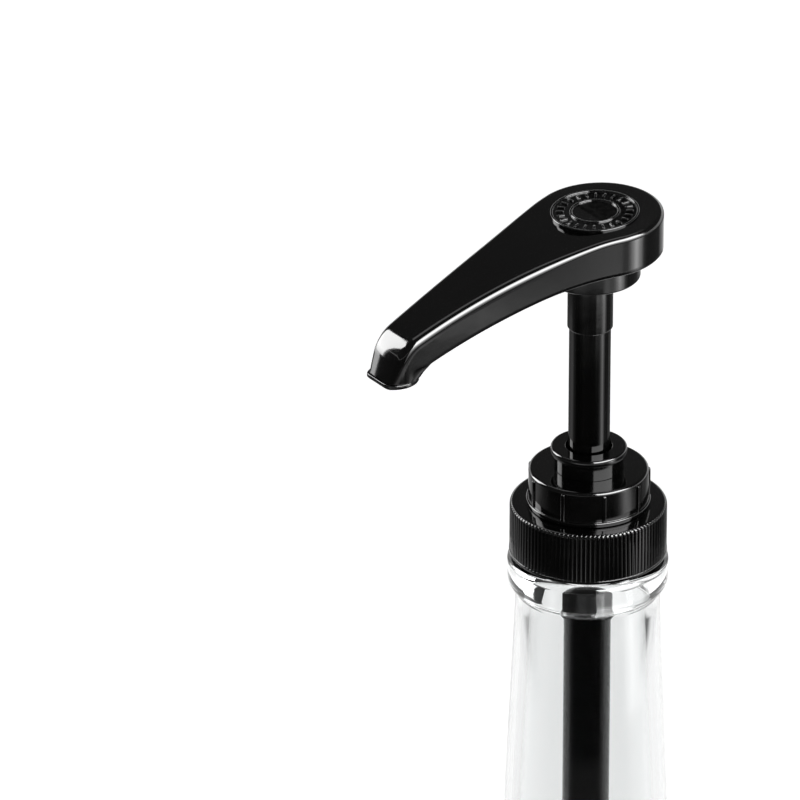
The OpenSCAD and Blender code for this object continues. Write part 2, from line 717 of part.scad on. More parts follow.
module discharge_seat() {
    low_z = valve_floor_z + seat_gap;
    high_z = valve_floor_z + seat_top_h;
    cone_h = high_z - discharge_point_z + eps;
    color("ivory") difference() {
        translate([0, 0, low_z]) cylinder(r = valve_bore_r - seat_gap, h = high_z - low_z);
        translate([0, 0, discharge_point_z]) cylinder(r1 = 0, r2 = cone_h, h = cone_h);
        translate([0, 0, low_z - 1]) cylinder(r = discharge_hole_r, h = seat_top_h);
    }
}

module discharge_ball() {
    color("silver") translate([0, 0, discharge_ball_z]) sphere(r = discharge_ball_r);
}

module ball_stop() {
    hole_r = 0.8;
    hole_circle_r = 1.9;
    color("ivory") difference() {
        translate([0, 0, stop_z]) cylinder(r = valve_bore_r - seat_gap, h = stop_h);
        for (i = [0:5])
            rotate([0, 0, 60 * i]) translate([hole_circle_r, 0, stop_z - 1])
                cylinder(r = hole_r, h = stop_h + 2);
    }
}

// Head
module stem_sleeve() {
    color(black_plastic) ring(sleeve_r, sleeve_bore_r, sleeve_z, socket_z + sleeve_seat_len - sleeve_z);
}

// Path of the spout tube: parallel to the top of the arm, then a bend straight down over the outlet
outlet_x = reach - 1.4;
channel_r = channel_d / 2;
channel_bore_r = channel_bore_d / 2;
channel_depth = shell_t + channel_r + 0.7;
channel_arc_r = arm_r - channel_depth;
channel_start = [top_b[0] - channel_depth * sin(arm_tilt), top_b[1] - channel_depth * cos(arm_tilt)];
channel_bend_r = 3;
channel_span = outlet_x - channel_start[0] - channel_bend_r;
channel_turn_tilt = asin((channel_span + channel_arc_r * sin(arm_tilt)) / (channel_arc_r - channel_bend_r));
channel_turn = arc_end(channel_start, arm_tilt, channel_turn_tilt, channel_arc_r);
channel_bend_end = arc_end(channel_turn, channel_turn_tilt, 90, channel_bend_r);

socket_r = socket_d / 2;
tube_insert = 1;
roof_z = top_mid[1] - shell_t - 1.6;
spout_plug_h = 2.5;
spout_plug_z = spout_z + spout_plug_h;
plate_end_x = spout_back_x - spout_fillet;
nose_roof_z = under_c[1] + under_t;
nose_bore_r = nose_r - shell_t - 0.2;

// A length of round bar along an arc of the profile
module bent_bar(start, from, to, path_r, bar_r) {
    translate([start[0] - path_r * sin(from), 0, start[1] - path_r * cos(from)])
        rotate([90, 0, 0]) rotate([0, 0, 90 - to]) rotate_extrude(angle = to - from)
            translate([path_r, 0]) circle(r = bar_r);
}

module at_channel_start() {
    translate([channel_start[0], 0, channel_start[1]]) rotate([0, -90 + arm_tilt, 0]) children();
}

// The tube's course as a solid: straight ends and a collar, joined by slightly thinner bends
module tube_course(r, past_end) {
    bend_r = r - 0.1;
    lap = [0.25, 8];
    collar_back = 2;
    collar_front = 0.3;
    low_z = spout_plug_z + seat_gap - past_end;
    at_channel_start() translate([0, 0, -1])
        cylinder(r = r, h = channel_start[0] - socket_r + tube_insert + 1 + past_end);
    bent_bar(arc_end(channel_start, arm_tilt, arm_tilt - lap[0], channel_arc_r),
             arm_tilt - lap[0], channel_turn_tilt + lap[0], channel_arc_r, bend_r);
    translate([channel_turn[0], 0, channel_turn[1]]) rotate([0, -90 + channel_turn_tilt, 0])
        translate([0, 0, -collar_front]) cylinder(r = r, h = collar_back + collar_front);
    bent_bar(arc_end(channel_turn, channel_turn_tilt, channel_turn_tilt - lap[1], channel_bend_r),
             channel_turn_tilt - lap[1], 90 + lap[1], channel_bend_r, bend_r);
    translate([outlet_x, 0, low_z]) cylinder(r = r, h = channel_bend_end[1] - low_z);
}

// Spout tube: out of the socket, along the arm and down over the nozzle
module spout_tube() {
    color("white") difference() {
        tube_course(channel_r, 0);
        tube_course(channel_bore_r, 1);
    }
}

// Underside of the head: a plate inside the shell's edge, the skirt and the stem socket
module head_base() {
    plate_top = under_line(under_t);
    plate_low = under_line(0);
    inside = shell_t + seat_gap;
    color(black_plastic) difference() {
        union() {
            intersection() {
                head_prism(inside);
                upright(concat(plate_top, [for (i = [len(plate_low) - 1:-1:0]) plate_low[i]]));
                translate([head_back_x, -end_r, spout_z])
                    cube([plate_end_x - seat_gap - head_back_x, 2 * end_r, 2 * end_r]);
            }
            intersection() {
                ring(skirt_d / 2, skirt_d / 2 - skirt_wall, skirt_z, badge_ring_z - skirt_z);
                upright(concat([[head_back_x, skirt_z - 1], [reach, skirt_z - 1]], under_line(under_t / 2)));
            }
            intersection() {
                translate([0, 0, socket_z]) cylinder(r = socket_r, h = badge_ring_z - socket_z);
                inside_head(inside + 0.2);
            }
        }
        translate([0, 0, socket_z - 1])
            cylinder(r = sleeve_r + seat_gap, h = sleeve_seat_len + 1 + seat_gap);
        translate([0, 0, skirt_z - 1]) cylinder(r = sleeve_bore_r, h = roof_z - skirt_z + 1);
        at_channel_start() cylinder(r = channel_r + seat_gap, h = channel_start[0] - socket_r + tube_insert);
        at_channel_start() cylinder(r = channel_bore_r, h = channel_start[0] - socket_r / 2);
    }
}

// Outline of the head from the side, with the spout's back and its fillet
function head_side() =
    let (low = under_line(0))
    concat(top_line(0, spout_z),
           [[spout_back_x, spout_z], [spout_back_x, under_c[1] - spout_fillet]],
           [[spout_back_x - spout_fillet, under_c[1] + spout_fillet * tan(under_tilts[2])]],
           [for (p = low) if (p[0] < spout_back_x - spout_fillet) p]);

module inside_head(inset) {
    upright(concat(top_line(inset, spout_z - 2), [[head_back_x, spout_z - 2]]));
}

// What lies outside the spout's round back, under the arm
module behind_spout() {
    back_r = nose_r - seat_gap;
    low_z = spout_z - 1;
    h = under_c[1] - spout_fillet - low_z;
    difference() {
        translate([spout_back_x - 1, -end_r, low_z]) cube([nose_r + 1, 2 * end_r, h]);
        translate([reach, 0, low_z - 1]) cylinder(r = back_r, h = h + 2);
    }
}

// The hollow of the head leaves the back wall of the spout standing
module head_shell() {
    wall_h = nose_roof_z - spout_z + 2;
    color(black_plastic) difference() {
        intersection() {
            head_prism(0);
            upright(head_side());
        }
        difference() {
            intersection() {
                head_prism(shell_t);
                inside_head(shell_t);
            }
            difference() {
                translate([plate_end_x, -end_r, spout_z - 2]) cube([reach - plate_end_x, 2 * end_r, wall_h]);
                translate([reach, 0, spout_z - 3]) cylinder(r = nose_bore_r, h = wall_h + 2);
            }
        }
        behind_spout();
        at_badge() translate([0, 0, -badge_seat]) cylinder(r = badge_d / 2 + seat_gap, h = 5);
    }
}

module at_badge() {
    translate([top_mid[0], 0, top_mid[1]]) rotate([0, top_tilt, 0]) children();
}

// Nozzle: a flange with a flat front and a plug that fills the foot of the nose
module nozzle_tip() {
    low_z = spout_z - spout_flange_t;
    color(black_plastic) difference() {
        union() {
            translate([0, 0, low_z]) linear_extrude(spout_flange_t - seat_gap) intersection() {
                translate([reach, 0]) circle(r = nose_r + spout_flange_out);
                translate([0, -2 * nose_r]) square([nose_front_x + spout_flange_out, 4 * nose_r]);
            }
            intersection() {
                translate([reach, 0, low_z]) cylinder(r = nose_bore_r - seat_gap, h = spout_plug_z - low_z);
                inside_head(shell_t + seat_gap);
            }
        }
        translate([outlet_x, 0, low_z - 1]) cylinder(r = outlet_d / 2, h = spout_plug_z - low_z + 2);
    }
}

// Badge: a disc with two raised rings and a circle of plain ticks between them
module head_medallion() {
    badge_r = badge_d / 2;
    inner_r = badge_inner_d / 2;
    tick_r = (badge_r + inner_r) / 2;
    tick_len = (badge_r - inner_r) * 0.42;
    tick_h = badge_relief * 0.8;
    color(black_plastic) at_badge() {
        translate([0, 0, -badge_seat + seat_gap]) cylinder(r = badge_r, h = badge_seat);
        ring(badge_r, badge_r - badge_ring_w, 0, badge_relief);
        ring(inner_r, inner_r - badge_ring_w, 0, badge_relief);
        for (i = [0:badge_ticks - 1])
            rotate([0, 0, (i + 0.5) * 360 / badge_ticks])
                translate([tick_r - tick_len / 2, -badge_ring_w / 2, 0])
                    cube([tick_len, badge_ring_w, tick_h]);
    }
}

bottle();
closure();
closure_gasket();
pump_housing();
chaplet();
stem_guide();
stem_wiper();
stem();
piston_carrier();
piston_seal();
return_spring();
ball_cage();
suction_ball();
dip_tube();
discharge_seat();
discharge_ball();
ball_stop();
stem_sleeve();
head_base();
head_shell();
spout_tube();
nozzle_tip();
head_medallion();
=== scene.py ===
# Syrup dispenser: a glossy black plunger pump with a drooping spout, screwed on a clear glass bottle.
import math
import bmesh
import bpy
from mathutils import Matrix, Vector


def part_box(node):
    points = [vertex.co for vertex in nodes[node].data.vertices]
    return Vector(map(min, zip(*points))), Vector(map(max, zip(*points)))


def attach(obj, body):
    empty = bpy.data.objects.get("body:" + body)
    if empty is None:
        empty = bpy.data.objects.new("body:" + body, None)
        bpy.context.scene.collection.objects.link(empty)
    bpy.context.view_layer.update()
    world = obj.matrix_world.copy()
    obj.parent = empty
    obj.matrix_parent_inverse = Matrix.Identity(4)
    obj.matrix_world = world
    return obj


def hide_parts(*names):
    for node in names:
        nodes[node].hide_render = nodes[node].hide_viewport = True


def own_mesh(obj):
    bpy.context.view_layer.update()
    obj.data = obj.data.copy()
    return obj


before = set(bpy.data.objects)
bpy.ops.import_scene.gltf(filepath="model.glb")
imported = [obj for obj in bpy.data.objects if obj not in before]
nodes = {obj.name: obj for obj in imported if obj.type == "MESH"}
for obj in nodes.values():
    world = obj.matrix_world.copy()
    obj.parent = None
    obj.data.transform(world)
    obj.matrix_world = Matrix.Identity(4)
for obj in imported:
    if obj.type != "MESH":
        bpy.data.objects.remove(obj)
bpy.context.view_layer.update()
mm = 0.001
pumpMiddle = Vector((0, 0, 340))  # what the studio's screens stand round


def span(node):
    # lowest and highest corner of a CAD node, in millimetres
    low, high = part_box(node)
    return low / mm, high / mm


# Meshes from rings and profiles, all sizes in millimetres.
meshing = {"sharpAngle": 32, "barSharpAngle": 60, "mergeWithin": 1e-6, "degenerate": 1e-7}


def finishMesh(name, verts, faces, sharpAngle=meshing["sharpAngle"]):
    mesh = bpy.data.meshes.new(name)
    mesh.from_pydata([Vector(v) * mm for v in verts], [], faces)
    bm = bmesh.new()
    bm.from_mesh(mesh)
    bmesh.ops.remove_doubles(bm, verts=bm.verts, dist=meshing["mergeWithin"])
    bmesh.ops.dissolve_degenerate(bm, edges=bm.edges, dist=meshing["degenerate"])
    bmesh.ops.recalc_face_normals(bm, faces=bm.faces)
    bm.to_mesh(mesh)
    bm.free()
    mesh.shade_smooth()
    mesh.set_sharp_from_angle(angle=math.radians(sharpAngle))
    obj = bpy.data.objects.new(name, mesh)
    bpy.context.scene.collection.objects.link(obj)
    return obj


def ringFaces(count, perRing, closed):
    # quads between neighbouring rings of the same number of points
    faces = []
    for i in range(count if closed else count - 1):
        j = (i + 1) % count
        for k in range(perRing):
            m = (k + 1) % perRing
            faces.append((i * perRing + k, i * perRing + m, j * perRing + m, j * perRing + k))
    return faces


def skin(name, rings, closed=False, caps=True):
    # a surface through rings of points; closed joins the last ring to the first, caps fill the open ends
    perRing = len(rings[0])
    faces = ringFaces(len(rings), perRing, closed)
    if caps and not closed:
        last = (len(rings) - 1) * perRing
        faces.append(tuple(reversed(range(perRing))))
        faces.append(tuple(range(last, last + perRing)))
    return finishMesh(name, [p for ring in rings for p in ring], faces)


def turned(name, profile, steps=128, closed=True, reshape=None):
    # a profile of (radius, height) turned about the Z axis; reshape moves single points
    rings = []
    for r, z in profile:
        ring = []
        for k in range(steps):
            angle = 2 * math.pi * k / steps
            radius, height = reshape(angle, r, z) if reshape else (r, z)
            ring.append((radius * math.cos(angle), radius * math.sin(angle), height))
        rings.append(ring)
    return skin(name, rings, closed=closed, caps=False)


def arc(x, z, r, start, end, steps):
    # points of an arc round (x, z), angles in degrees
    angles = [math.radians(start + (end - start) * i / steps) for i in range(steps + 1)]
    return [(x + r * math.cos(a), z + r * math.sin(a)) for a in angles]


def rounded(corners, steps=5, loop=True):
    # corners as (x, z) or (x, z, radius): a radius turns the corner into an arc that touches both sides
    points = []
    count = len(corners)
    for i, corner in enumerate(corners):
        here = Vector(corner[:2])
        radius = corner[2] if len(corner) > 2 else 0
        if radius == 0 or (not loop and i in (0, count - 1)):
            points.append(tuple(here))
            continue
        before = (Vector(corners[i - 1][:2]) - here).normalized()
        after = (Vector(corners[(i + 1) % count][:2]) - here).normalized()
        half = before.angle(after) / 2
        centre = here + (before + after).normalized() * radius / math.sin(half)
        a = here + before * radius / math.tan(half) - centre
        b = here + after * radius / math.tan(half) - centre
        points += [tuple(centre + swing(a, b, k / steps)) for k in range(steps + 1)]
    return points


def swing(a, b, share):
    # turns vector a towards b by that share of the angle between them
    angle = a.angle(b)
    if angle < 1e-6:
        return a.lerp(b, share)
    return (a * math.sin((1 - share) * angle) + b * math.sin(share * angle)) / math.sin(angle)


def smoothStep(low, high, x):
    # rises from 0 at low to 1 at high, gently at both ends
    t = min(1, max(0, (x - low) / (high - low)))
    return t * t * (3 - 2 * t)


def roundedBar(length, width, height, edge):
    # verts and faces of a bar along X with bevelled edges, centred in X and Y, standing on Z = 0
    bm = bmesh.new()
    bmesh.ops.create_cube(bm, size=1)
    bmesh.ops.scale(bm, verts=bm.verts, vec=(length, width, height))
    bmesh.ops.translate(bm, verts=bm.verts, vec=(0, 0, height / 2))
    bmesh.ops.bevel(bm, geom=bm.edges[:], offset=edge, segments=3, profile=0.5, affect="EDGES")
    verts = [v.co.copy() for v in bm.verts]
    faces = [tuple(v.index for v in f.verts) for f in bm.faces]
    bm.free()
    return verts, faces


def barAt(name, verts, faces, spin, shift):
    # a bar moved outwards by shift and then turned about the Z axis by spin
    return finishMesh(name, [spin @ (v + shift) for v in verts], faces, meshing["barSharpAngle"])


def joined(name, parts):
    # one object out of several
    bpy.ops.object.select_all(action="DESELECT")
    for part in parts:
        part.select_set(True)
    bpy.context.view_layer.objects.active = parts[0]
    bpy.ops.object.join()
    parts[0].name = name
    return parts[0]


def applyCut(target, cutter):
    # takes the cutter's volume out of the target for good, and marks the new edges as sharp
    cut = target.modifiers.new("cut", "BOOLEAN")
    cut.operation = "DIFFERENCE"
    cut.solver = "EXACT"
    cut.object = cutter
    bpy.context.view_layer.objects.active = target
    bpy.ops.object.modifier_apply(modifier="cut")
    bpy.data.objects.remove(cutter)
    target.data.set_sharp_from_angle(angle=math.radians(meshing["sharpAngle"]))


def place(obj, body, replaced, material=None):
    # gives a finished piece its material, even normals and its body, and hides the CAD node it stands for
    obj.data.materials.clear()
    obj.data.materials.append(material or blackAbs)
    evenNormals = obj.modifiers.new("even normals", "WEIGHTED_NORMAL")
    evenNormals.keep_sharp = True
    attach(obj, body)
    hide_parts(replaced)
    return obj


def turnedPiece(name, body, node, corners, roundSteps, steps):
    # a black piece turned from a profile with rounded corners, which stands for one CAD node
    return place(turned(name, rounded(corners, roundSteps), steps=steps), body, node)


def tone(code):
    # sRGB hex to a linear colour
    parts = [int(code[i:i + 2], 16) / 255 for i in (1, 3, 5)]
    return tuple(c / 12.92 if c <= 0.04045 else ((c + 0.055) / 1.055) ** 2.4 for c in parts) + (1,)


def addNode(tree, kind, settings=None, links=None):
    # settings go to the inputs or attributes of those names, links join inputs to other nodes' outputs;
    # a mix node goes by numbers: input 0 is its factor, 6 and 7 its two colours, output 2 the mixed one
    node = tree.nodes.new(kind)
    for key, value in (settings or {}).items():
        if isinstance(key, int) or key in node.inputs:
            node.inputs[key].default_value = value
        else:
            setattr(node, key, value)
    for key, source in (links or {}).items():
        tree.links.new(source, node.inputs[key])
    return node


def newMaterial(name):
    # an empty node material and its tree
    material = bpy.data.materials.new(name)
    material.use_nodes = True
    material.node_tree.nodes.clear()
    return material, material.node_tree


def perMetre(sizeInMm):
    # noise scale that gives features of that size
    return 1 / (sizeInMm * mm)


def mouldedBlackAbs():
    # Black ABS, injection moulded in a polished mould: deep black with a clear, slightly soft gloss,
    # a very faint ripple from the melt's flow and a few duller handled patches
    look = {"black": "#040404", "worn": "#060606", "rippleMm": 5.0, "peelMm": 0.9, "patchMm": 22.0,
            "gloss": 0.07, "dull": 0.13, "fromNoise": 0.35, "toNoise": 0.7, "ripple": 0.02, "peel": 0.012,
            "rippleDepthMm": 0.4, "peelDepthMm": 0.1, "ior": 1.53}
    material, tree = newMaterial("blackAbsMouldedGloss")
    place3d = addNode(tree, "ShaderNodeTexCoord")
    patches = addNode(tree, "ShaderNodeTexNoise", {"Scale": perMetre(look["patchMm"]), "Detail": 3.0},
                      {"Vector": place3d.outputs["Object"]})
    sheen = addNode(tree, "ShaderNodeMapRange",
                    {"From Min": look["fromNoise"], "From Max": look["toNoise"],
                     "To Min": look["gloss"], "To Max": look["dull"]},
                    {"Value": patches.outputs["Fac"]})
    colour = addNode(tree, "ShaderNodeMix",
                     {"data_type": "RGBA", 6: tone(look["black"]), 7: tone(look["worn"])},
                     {0: patches.outputs["Fac"]})
    flow = addNode(tree, "ShaderNodeTexNoise", {"Scale": perMetre(look["rippleMm"]), "Detail": 1.0},
                   {"Vector": place3d.outputs["Object"]})
    peel = addNode(tree, "ShaderNodeTexNoise", {"Scale": perMetre(look["peelMm"]), "Detail": 2.0},
                   {"Vector": place3d.outputs["Object"]})
    flowBump = addNode(tree, "ShaderNodeBump",
                       {"Strength": look["ripple"], "Distance": look["rippleDepthMm"] * mm},
                       {"Height": flow.outputs["Fac"]})
    peelBump = addNode(tree, "ShaderNodeBump",
                       {"Strength": look["peel"], "Distance": look["peelDepthMm"] * mm},
                       {"Height": peel.outputs["Fac"], "Normal": flowBump.outputs["Normal"]})
    shader = addNode(tree, "ShaderNodeBsdfPrincipled", {"IOR": look["ior"]},
                     {"Base Color": colour.outputs[2], "Roughness": sheen.outputs["Result"],
                      "Normal": peelBump.outputs["Normal"]})
    addNode(tree, "ShaderNodeOutputMaterial", links={"Surface": shader.outputs["BSDF"]})
    return material


def blownFlintGlass():
    # Clear flint glass, blown in a mould: colourless and bright, with a hardly visible waviness
    look = {"clear": "#f5f6f6", "waveMm": 16.0, "wave": 0.03, "waveDepthMm": 0.5, "ior": 1.52}
    material, tree = newMaterial("flintGlassBlownClear")
    place3d = addNode(tree, "ShaderNodeTexCoord")
    wave = addNode(tree, "ShaderNodeTexNoise", {"Scale": perMetre(look["waveMm"]), "Detail": 1.0},
                   {"Vector": place3d.outputs["Object"]})
    bump = addNode(tree, "ShaderNodeBump", {"Strength": look["wave"], "Distance": look["waveDepthMm"] * mm},
                   {"Height": wave.outputs["Fac"]})
    shader = addNode(tree, "ShaderNodeBsdfPrincipled",
                     {"Base Color": tone(look["clear"]), "Roughness": 0.0, "IOR": look["ior"],
                      "Transmission Weight": 1.0}, {"Normal": bump.outputs["Normal"]})
    addNode(tree, "ShaderNodeOutputMaterial", links={"Surface": shader.outputs["BSDF"]})
    return material


def mouldedRubber():
    # EPDM rubber, compression moulded: dark grey, matt, with a fine grain
    look = {"rubber": "#26272a", "dust": "#34353a", "grainMm": 0.5, "grain": 0.15, "grainDepthMm": 0.1,
            "matt": 0.72}
    material, tree = newMaterial("epdmRubberMouldedMatt")
    place3d = addNode(tree, "ShaderNodeTexCoord")
    grain = addNode(tree, "ShaderNodeTexNoise", {"Scale": perMetre(look["grainMm"]), "Detail": 4.0},
                    {"Vector": place3d.outputs["Object"]})
    colour = addNode(tree, "ShaderNodeMix",
                     {"data_type": "RGBA", 6: tone(look["rubber"]), 7: tone(look["dust"])},
                     {0: grain.outputs["Fac"]})
    bump = addNode(tree, "ShaderNodeBump",
                   {"Strength": look["grain"], "Distance": look["grainDepthMm"] * mm},
                   {"Height": grain.outputs["Fac"]})
    shader = addNode(tree, "ShaderNodeBsdfPrincipled", {"Roughness": look["matt"]},
                     {"Base Color": colour.outputs[2], "Normal": bump.outputs["Normal"]})
    addNode(tree, "ShaderNodeOutputMaterial", links={"Surface": shader.outputs["BSDF"]})
    return material


def mouldedPolyethylene():
    # Natural polyethylene, injection moulded: milky ivory that lets a little light into itself
    look = {"milk": "#e6e2d6", "shade": "#d8d3c4", "cloudMm": 6.0, "depthMm": 1.2, "within": 0.25,
            "satin": 0.42}
    material, tree = newMaterial("polyethyleneMouldedMilky")
    place3d = addNode(tree, "ShaderNodeTexCoord")
    cloud = addNode(tree, "ShaderNodeTexNoise", {"Scale": perMetre(look["cloudMm"]), "Detail": 2.0},
                    {"Vector": place3d.outputs["Object"]})
    colour = addNode(tree, "ShaderNodeMix",
                     {"data_type": "RGBA", 6: tone(look["milk"]), 7: tone(look["shade"])},
                     {0: cloud.outputs["Fac"]})
    shader = addNode(tree, "ShaderNodeBsdfPrincipled",
                     {"Roughness": look["satin"], "Subsurface Weight": look["within"],
                      "Subsurface Scale": look["depthMm"] * mm}, {"Base Color": colour.outputs[2]})
    addNode(tree, "ShaderNodeOutputMaterial", links={"Surface": shader.outputs["BSDF"]})
    return material


def drawnSteel():
    # Stainless steel, drawn and polished: bright grey with fine lines left by the die.
    # Real die lines lie about 0.15 mm apart; they are drawn ten times coarser, so that a picture shows them
    look = {"steel": "#b9bbbd", "lineMm": 1.5, "rough": 0.2, "rougher": 0.32}
    material, tree = newMaterial("stainlessSteelDrawnPolished")
    place3d = addNode(tree, "ShaderNodeTexCoord")
    lines = addNode(tree, "ShaderNodeTexNoise", {"Scale": perMetre(look["lineMm"]), "Detail": 3.0},
                    {"Vector": place3d.outputs["Object"]})
    rough = addNode(tree, "ShaderNodeMapRange", {"To Min": look["rough"], "To Max": look["rougher"]},
                    {"Value": lines.outputs["Fac"]})
    shader = addNode(tree, "ShaderNodeBsdfPrincipled",
                     {"Base Color": tone(look["steel"]), "Metallic": 1.0},
                     {"Roughness": rough.outputs["Result"]})
    addNode(tree, "ShaderNodeOutputMaterial", links={"Surface": shader.outputs["BSDF"]})
    return material


blackAbs = mouldedBlackAbs()
flintGlass = blownFlintGlass()
sealRubber = mouldedRubber()
innerPlastic = mouldedPolyethylene()
valveSteel = drawnSteel()
print("materials ready")


# Camera: a long lens that looks down on the pump from behind the arm's tip.
def viewAxes(azimuth, elevation):
    # right, up and backward directions of a camera at that azimuth and elevation
    a, e = math.radians(azimuth), math.radians(elevation)
    back = Vector((math.sin(a) * math.cos(e), -math.cos(a) * math.cos(e), math.sin(e)))
    right = Vector((math.cos(a), math.sin(a), 0))
    return right, back.cross(right), back


def addCamera():
    # the aim is a point on the stem's axis, which lies to the right of the frame's middle and below it
    shot = {"azimuth": 144.84, "elevation": 27.0, "lensMm": 450, "sensorMm": 36, "distanceMm": 2392,
            "aimHeightMm": 307.95, "aimRightMm": 45.14, "aimUpMm": -15.79, "farMetres": 50}
    right, up, back = viewAxes(shot["azimuth"], shot["elevation"])
    aim = Vector((0, 0, shot["aimHeightMm"]))
    spot = aim - right * shot["aimRightMm"] - up * shot["aimUpMm"] + back * shot["distanceMm"]
    lens = bpy.data.cameras.new("photoCamera")
    lens.lens = shot["lensMm"]
    lens.sensor_width = shot["sensorMm"]
    lens.clip_end = shot["farMetres"]
    camera = bpy.data.objects.new("photoCamera", lens)
    turn = Matrix((right, up, back)).transposed().to_4x4()
    camera.matrix_world = Matrix.Translation(spot * mm) @ turn
    bpy.context.scene.collection.objects.link(camera)
    bpy.context.scene.camera = camera
    return shot


shot = addCamera()


# Studio: a pale floor, a soft box, and glowing sheets that show only in the gloss and through the glass.
def glowMaterial(name, code, glow):
    # matt paper, lit up a little by itself so that it stays white in the picture
    material, tree = newMaterial(name)
    shader = addNode(tree, "ShaderNodeBsdfPrincipled",
                     {"Base Color": tone(code), "Roughness": 1.0, "Specular IOR Level": 0.0,
                      "Emission Color": tone("#ffffff"), "Emission Strength": glow})
    addNode(tree, "ShaderNodeOutputMaterial", links={"Surface": shader.outputs["BSDF"]})
    return material


def aroundCamera(degreesFromCamera):
    # compass direction of a point at that angle to the right of the camera, seen from the object
    a = math.radians(shot["azimuth"] + degreesFromCamera)
    return Vector((math.sin(a), -math.cos(a), 0))


def glossOnly(sheet):
    # seen in the gloss and through the glass, but not by the camera, and it lights nothing
    sheet.visible_camera = False
    sheet.visible_diffuse = False
    sheet.visible_shadow = False
    return sheet


def between(stops, x):
    # smooth value between (place, value) stops
    for (x0, v0), (x1, v1) in zip(stops, stops[1:]):
        if x <= x1:
            return v0 + (v1 - v0) * smoothStep(x0, x1, x)
    return stops[-1][1]


def glowSheet(name, verts, glows, faces):
    # a sheet whose glow is given at each of its points
    mesh = bpy.data.meshes.new(name)
    mesh.from_pydata(verts, [], faces)
    glowLayer = mesh.attributes.new("glow", "FLOAT", "POINT")
    glowLayer.data.foreach_set("value", glows)
    material, tree = newMaterial(name + "Glow")
    amount = addNode(tree, "ShaderNodeAttribute", {"attribute_name": "glow"})
    light = addNode(tree, "ShaderNodeEmission", {"Color": tone("#ffffff")},
                    {"Strength": amount.outputs["Fac"]})
    addNode(tree, "ShaderNodeOutputMaterial", links={"Surface": light.outputs["Emission"]})
    mesh.materials.append(material)
    sheet = bpy.data.objects.new(name, mesh)
    bpy.context.scene.collection.objects.link(sheet)
    return glossOnly(sheet)


def gridFaces(lines, perLine):
    # quads of an open grid of points
    faces = []
    for i in range(lines - 1):
        for k in range(perLine - 1):
            here, there = i * perLine + k, (i + 1) * perLine + k
            faces.append((here, here + 1, there + 1, there))
    return faces


def gradedTable():
    # A ring of dark and glowing paper on the floor, with the angles counted from the camera's direction.
    # Upright walls seen from above reflect it: the bottle its inmost zone, then the closure, the stem, the
    # arm and the round end of the head, and the front of the spout the outmost zone.
    table = {"near": 150, "nearBehind": 550, "behindFrom": 140, "behindTo": 150, "reach": 170, "height": 2,
             "bottle": [(-170, 1), (-100, 0.9), (-78, 0.15), (-60, 0.05), (60, 0.05), (78, 0.4),
                        (95, 1), (170, 1)],
             "closure": [(-170, 0.5), (-125, 0.45), (-100, 0.15), (-80, 0.05), (-40, 0), (52, 0),
                         (62, 0.25), (72, 1.5), (82, 1.9), (93, 0.6), (102, 0.1), (132, 0.1),
                         (150, 0.3), (170, 0.5)],
             "stem": [(-170, 0.12), (-137, 0.15), (-125, 0.3), (-110, 0.45), (-93, 0.1), (-75, 0),
                      (44, 0), (56, 0.2), (66, 1.2), (74, 2), (84, 0.6), (93, 0.06), (105, 0.1),
                      (118, 0.03), (125, 0.24), (137, 0.15), (170, 0.1)],
             "arm": [(-170, 0.1), (-80, 0.05), (25, 0.05), (36, 1.8), (63, 1.8), (70, 2.2), (78, 2),
                     (86, 0.6), (96, 0.1), (170, 0.2)],
             "end": [(-170, 0.03), (-140, 0.05), (-100, 0.13), (-60, 0.2), (-45, 0.7), (-35, 1.3),
                     (-20, 1.2), (0, 0.75), (25, 1), (41, 1.1), (46, 0.5), (52, 0.45), (57, 1.4),
                     (62, 3.4), (70, 6.8), (78, 2.9), (87, 0.2), (96, 0.1), (130, 0.08), (140, 0.5),
                     (150, 0.65), (160, 1.2), (170, 1.2)],
             "front": [(-170, 1), (-140, 1), (-126, 0.04), (-60, 0.1), (40, 0.2), (170, 0.3)]}
    zones = [("bottle", 150, 535), ("closure", 550, 590), ("stem", 605, 698), ("arm", 709, 724),
             ("end", 735, 1000), ("front", 1300, 2600)]
    radii = [r for _, inner, outer in zones for r in (inner, (inner + outer) / 2, outer)]
    steps = 2 * table["reach"]
    verts, glows = [], []
    for i in range(steps + 1):
        angle = i - table["reach"]
        behind = smoothStep(table["behindFrom"], table["behindTo"], abs(angle))
        near = table["near"] + (table["nearBehind"] - table["near"]) * behind
        byRadius = []
        for zone, inner, outer in zones:
            glow = between(table[zone], angle)
            byRadius += [(inner, glow), (outer, glow)]
        for r in radii:
            away = max(r, near)
            verts.append((aroundCamera(angle) * away + Vector((0, 0, table["height"]))) * mm)
            glows.append(between(byRadius, away))
    return glowSheet("gradedTable", verts, glows, gridFaces(steps + 1, len(radii)))


def card(name, sides, stops, away, steps=24):
    # A curved glowing screen round the pump, for the highlights on its edges and the dark between them:
    # from one side to another, counted from the camera's direction, with its glow given by height as
    # (degrees above the pump, glow).
    verts, glows = [], []
    for lift, glow in stops:
        e = math.radians(lift)
        for i in range(steps + 1):
            side = sides[0] + (sides[1] - sides[0]) * i / steps
            way = aroundCamera(side) * math.cos(e) + Vector((0, 0, math.sin(e)))
            verts.append((pumpMiddle + way * away) * mm)
            glows.append(glow)
    return glowSheet(name, verts, glows, gridFaces(len(stops), steps + 1))


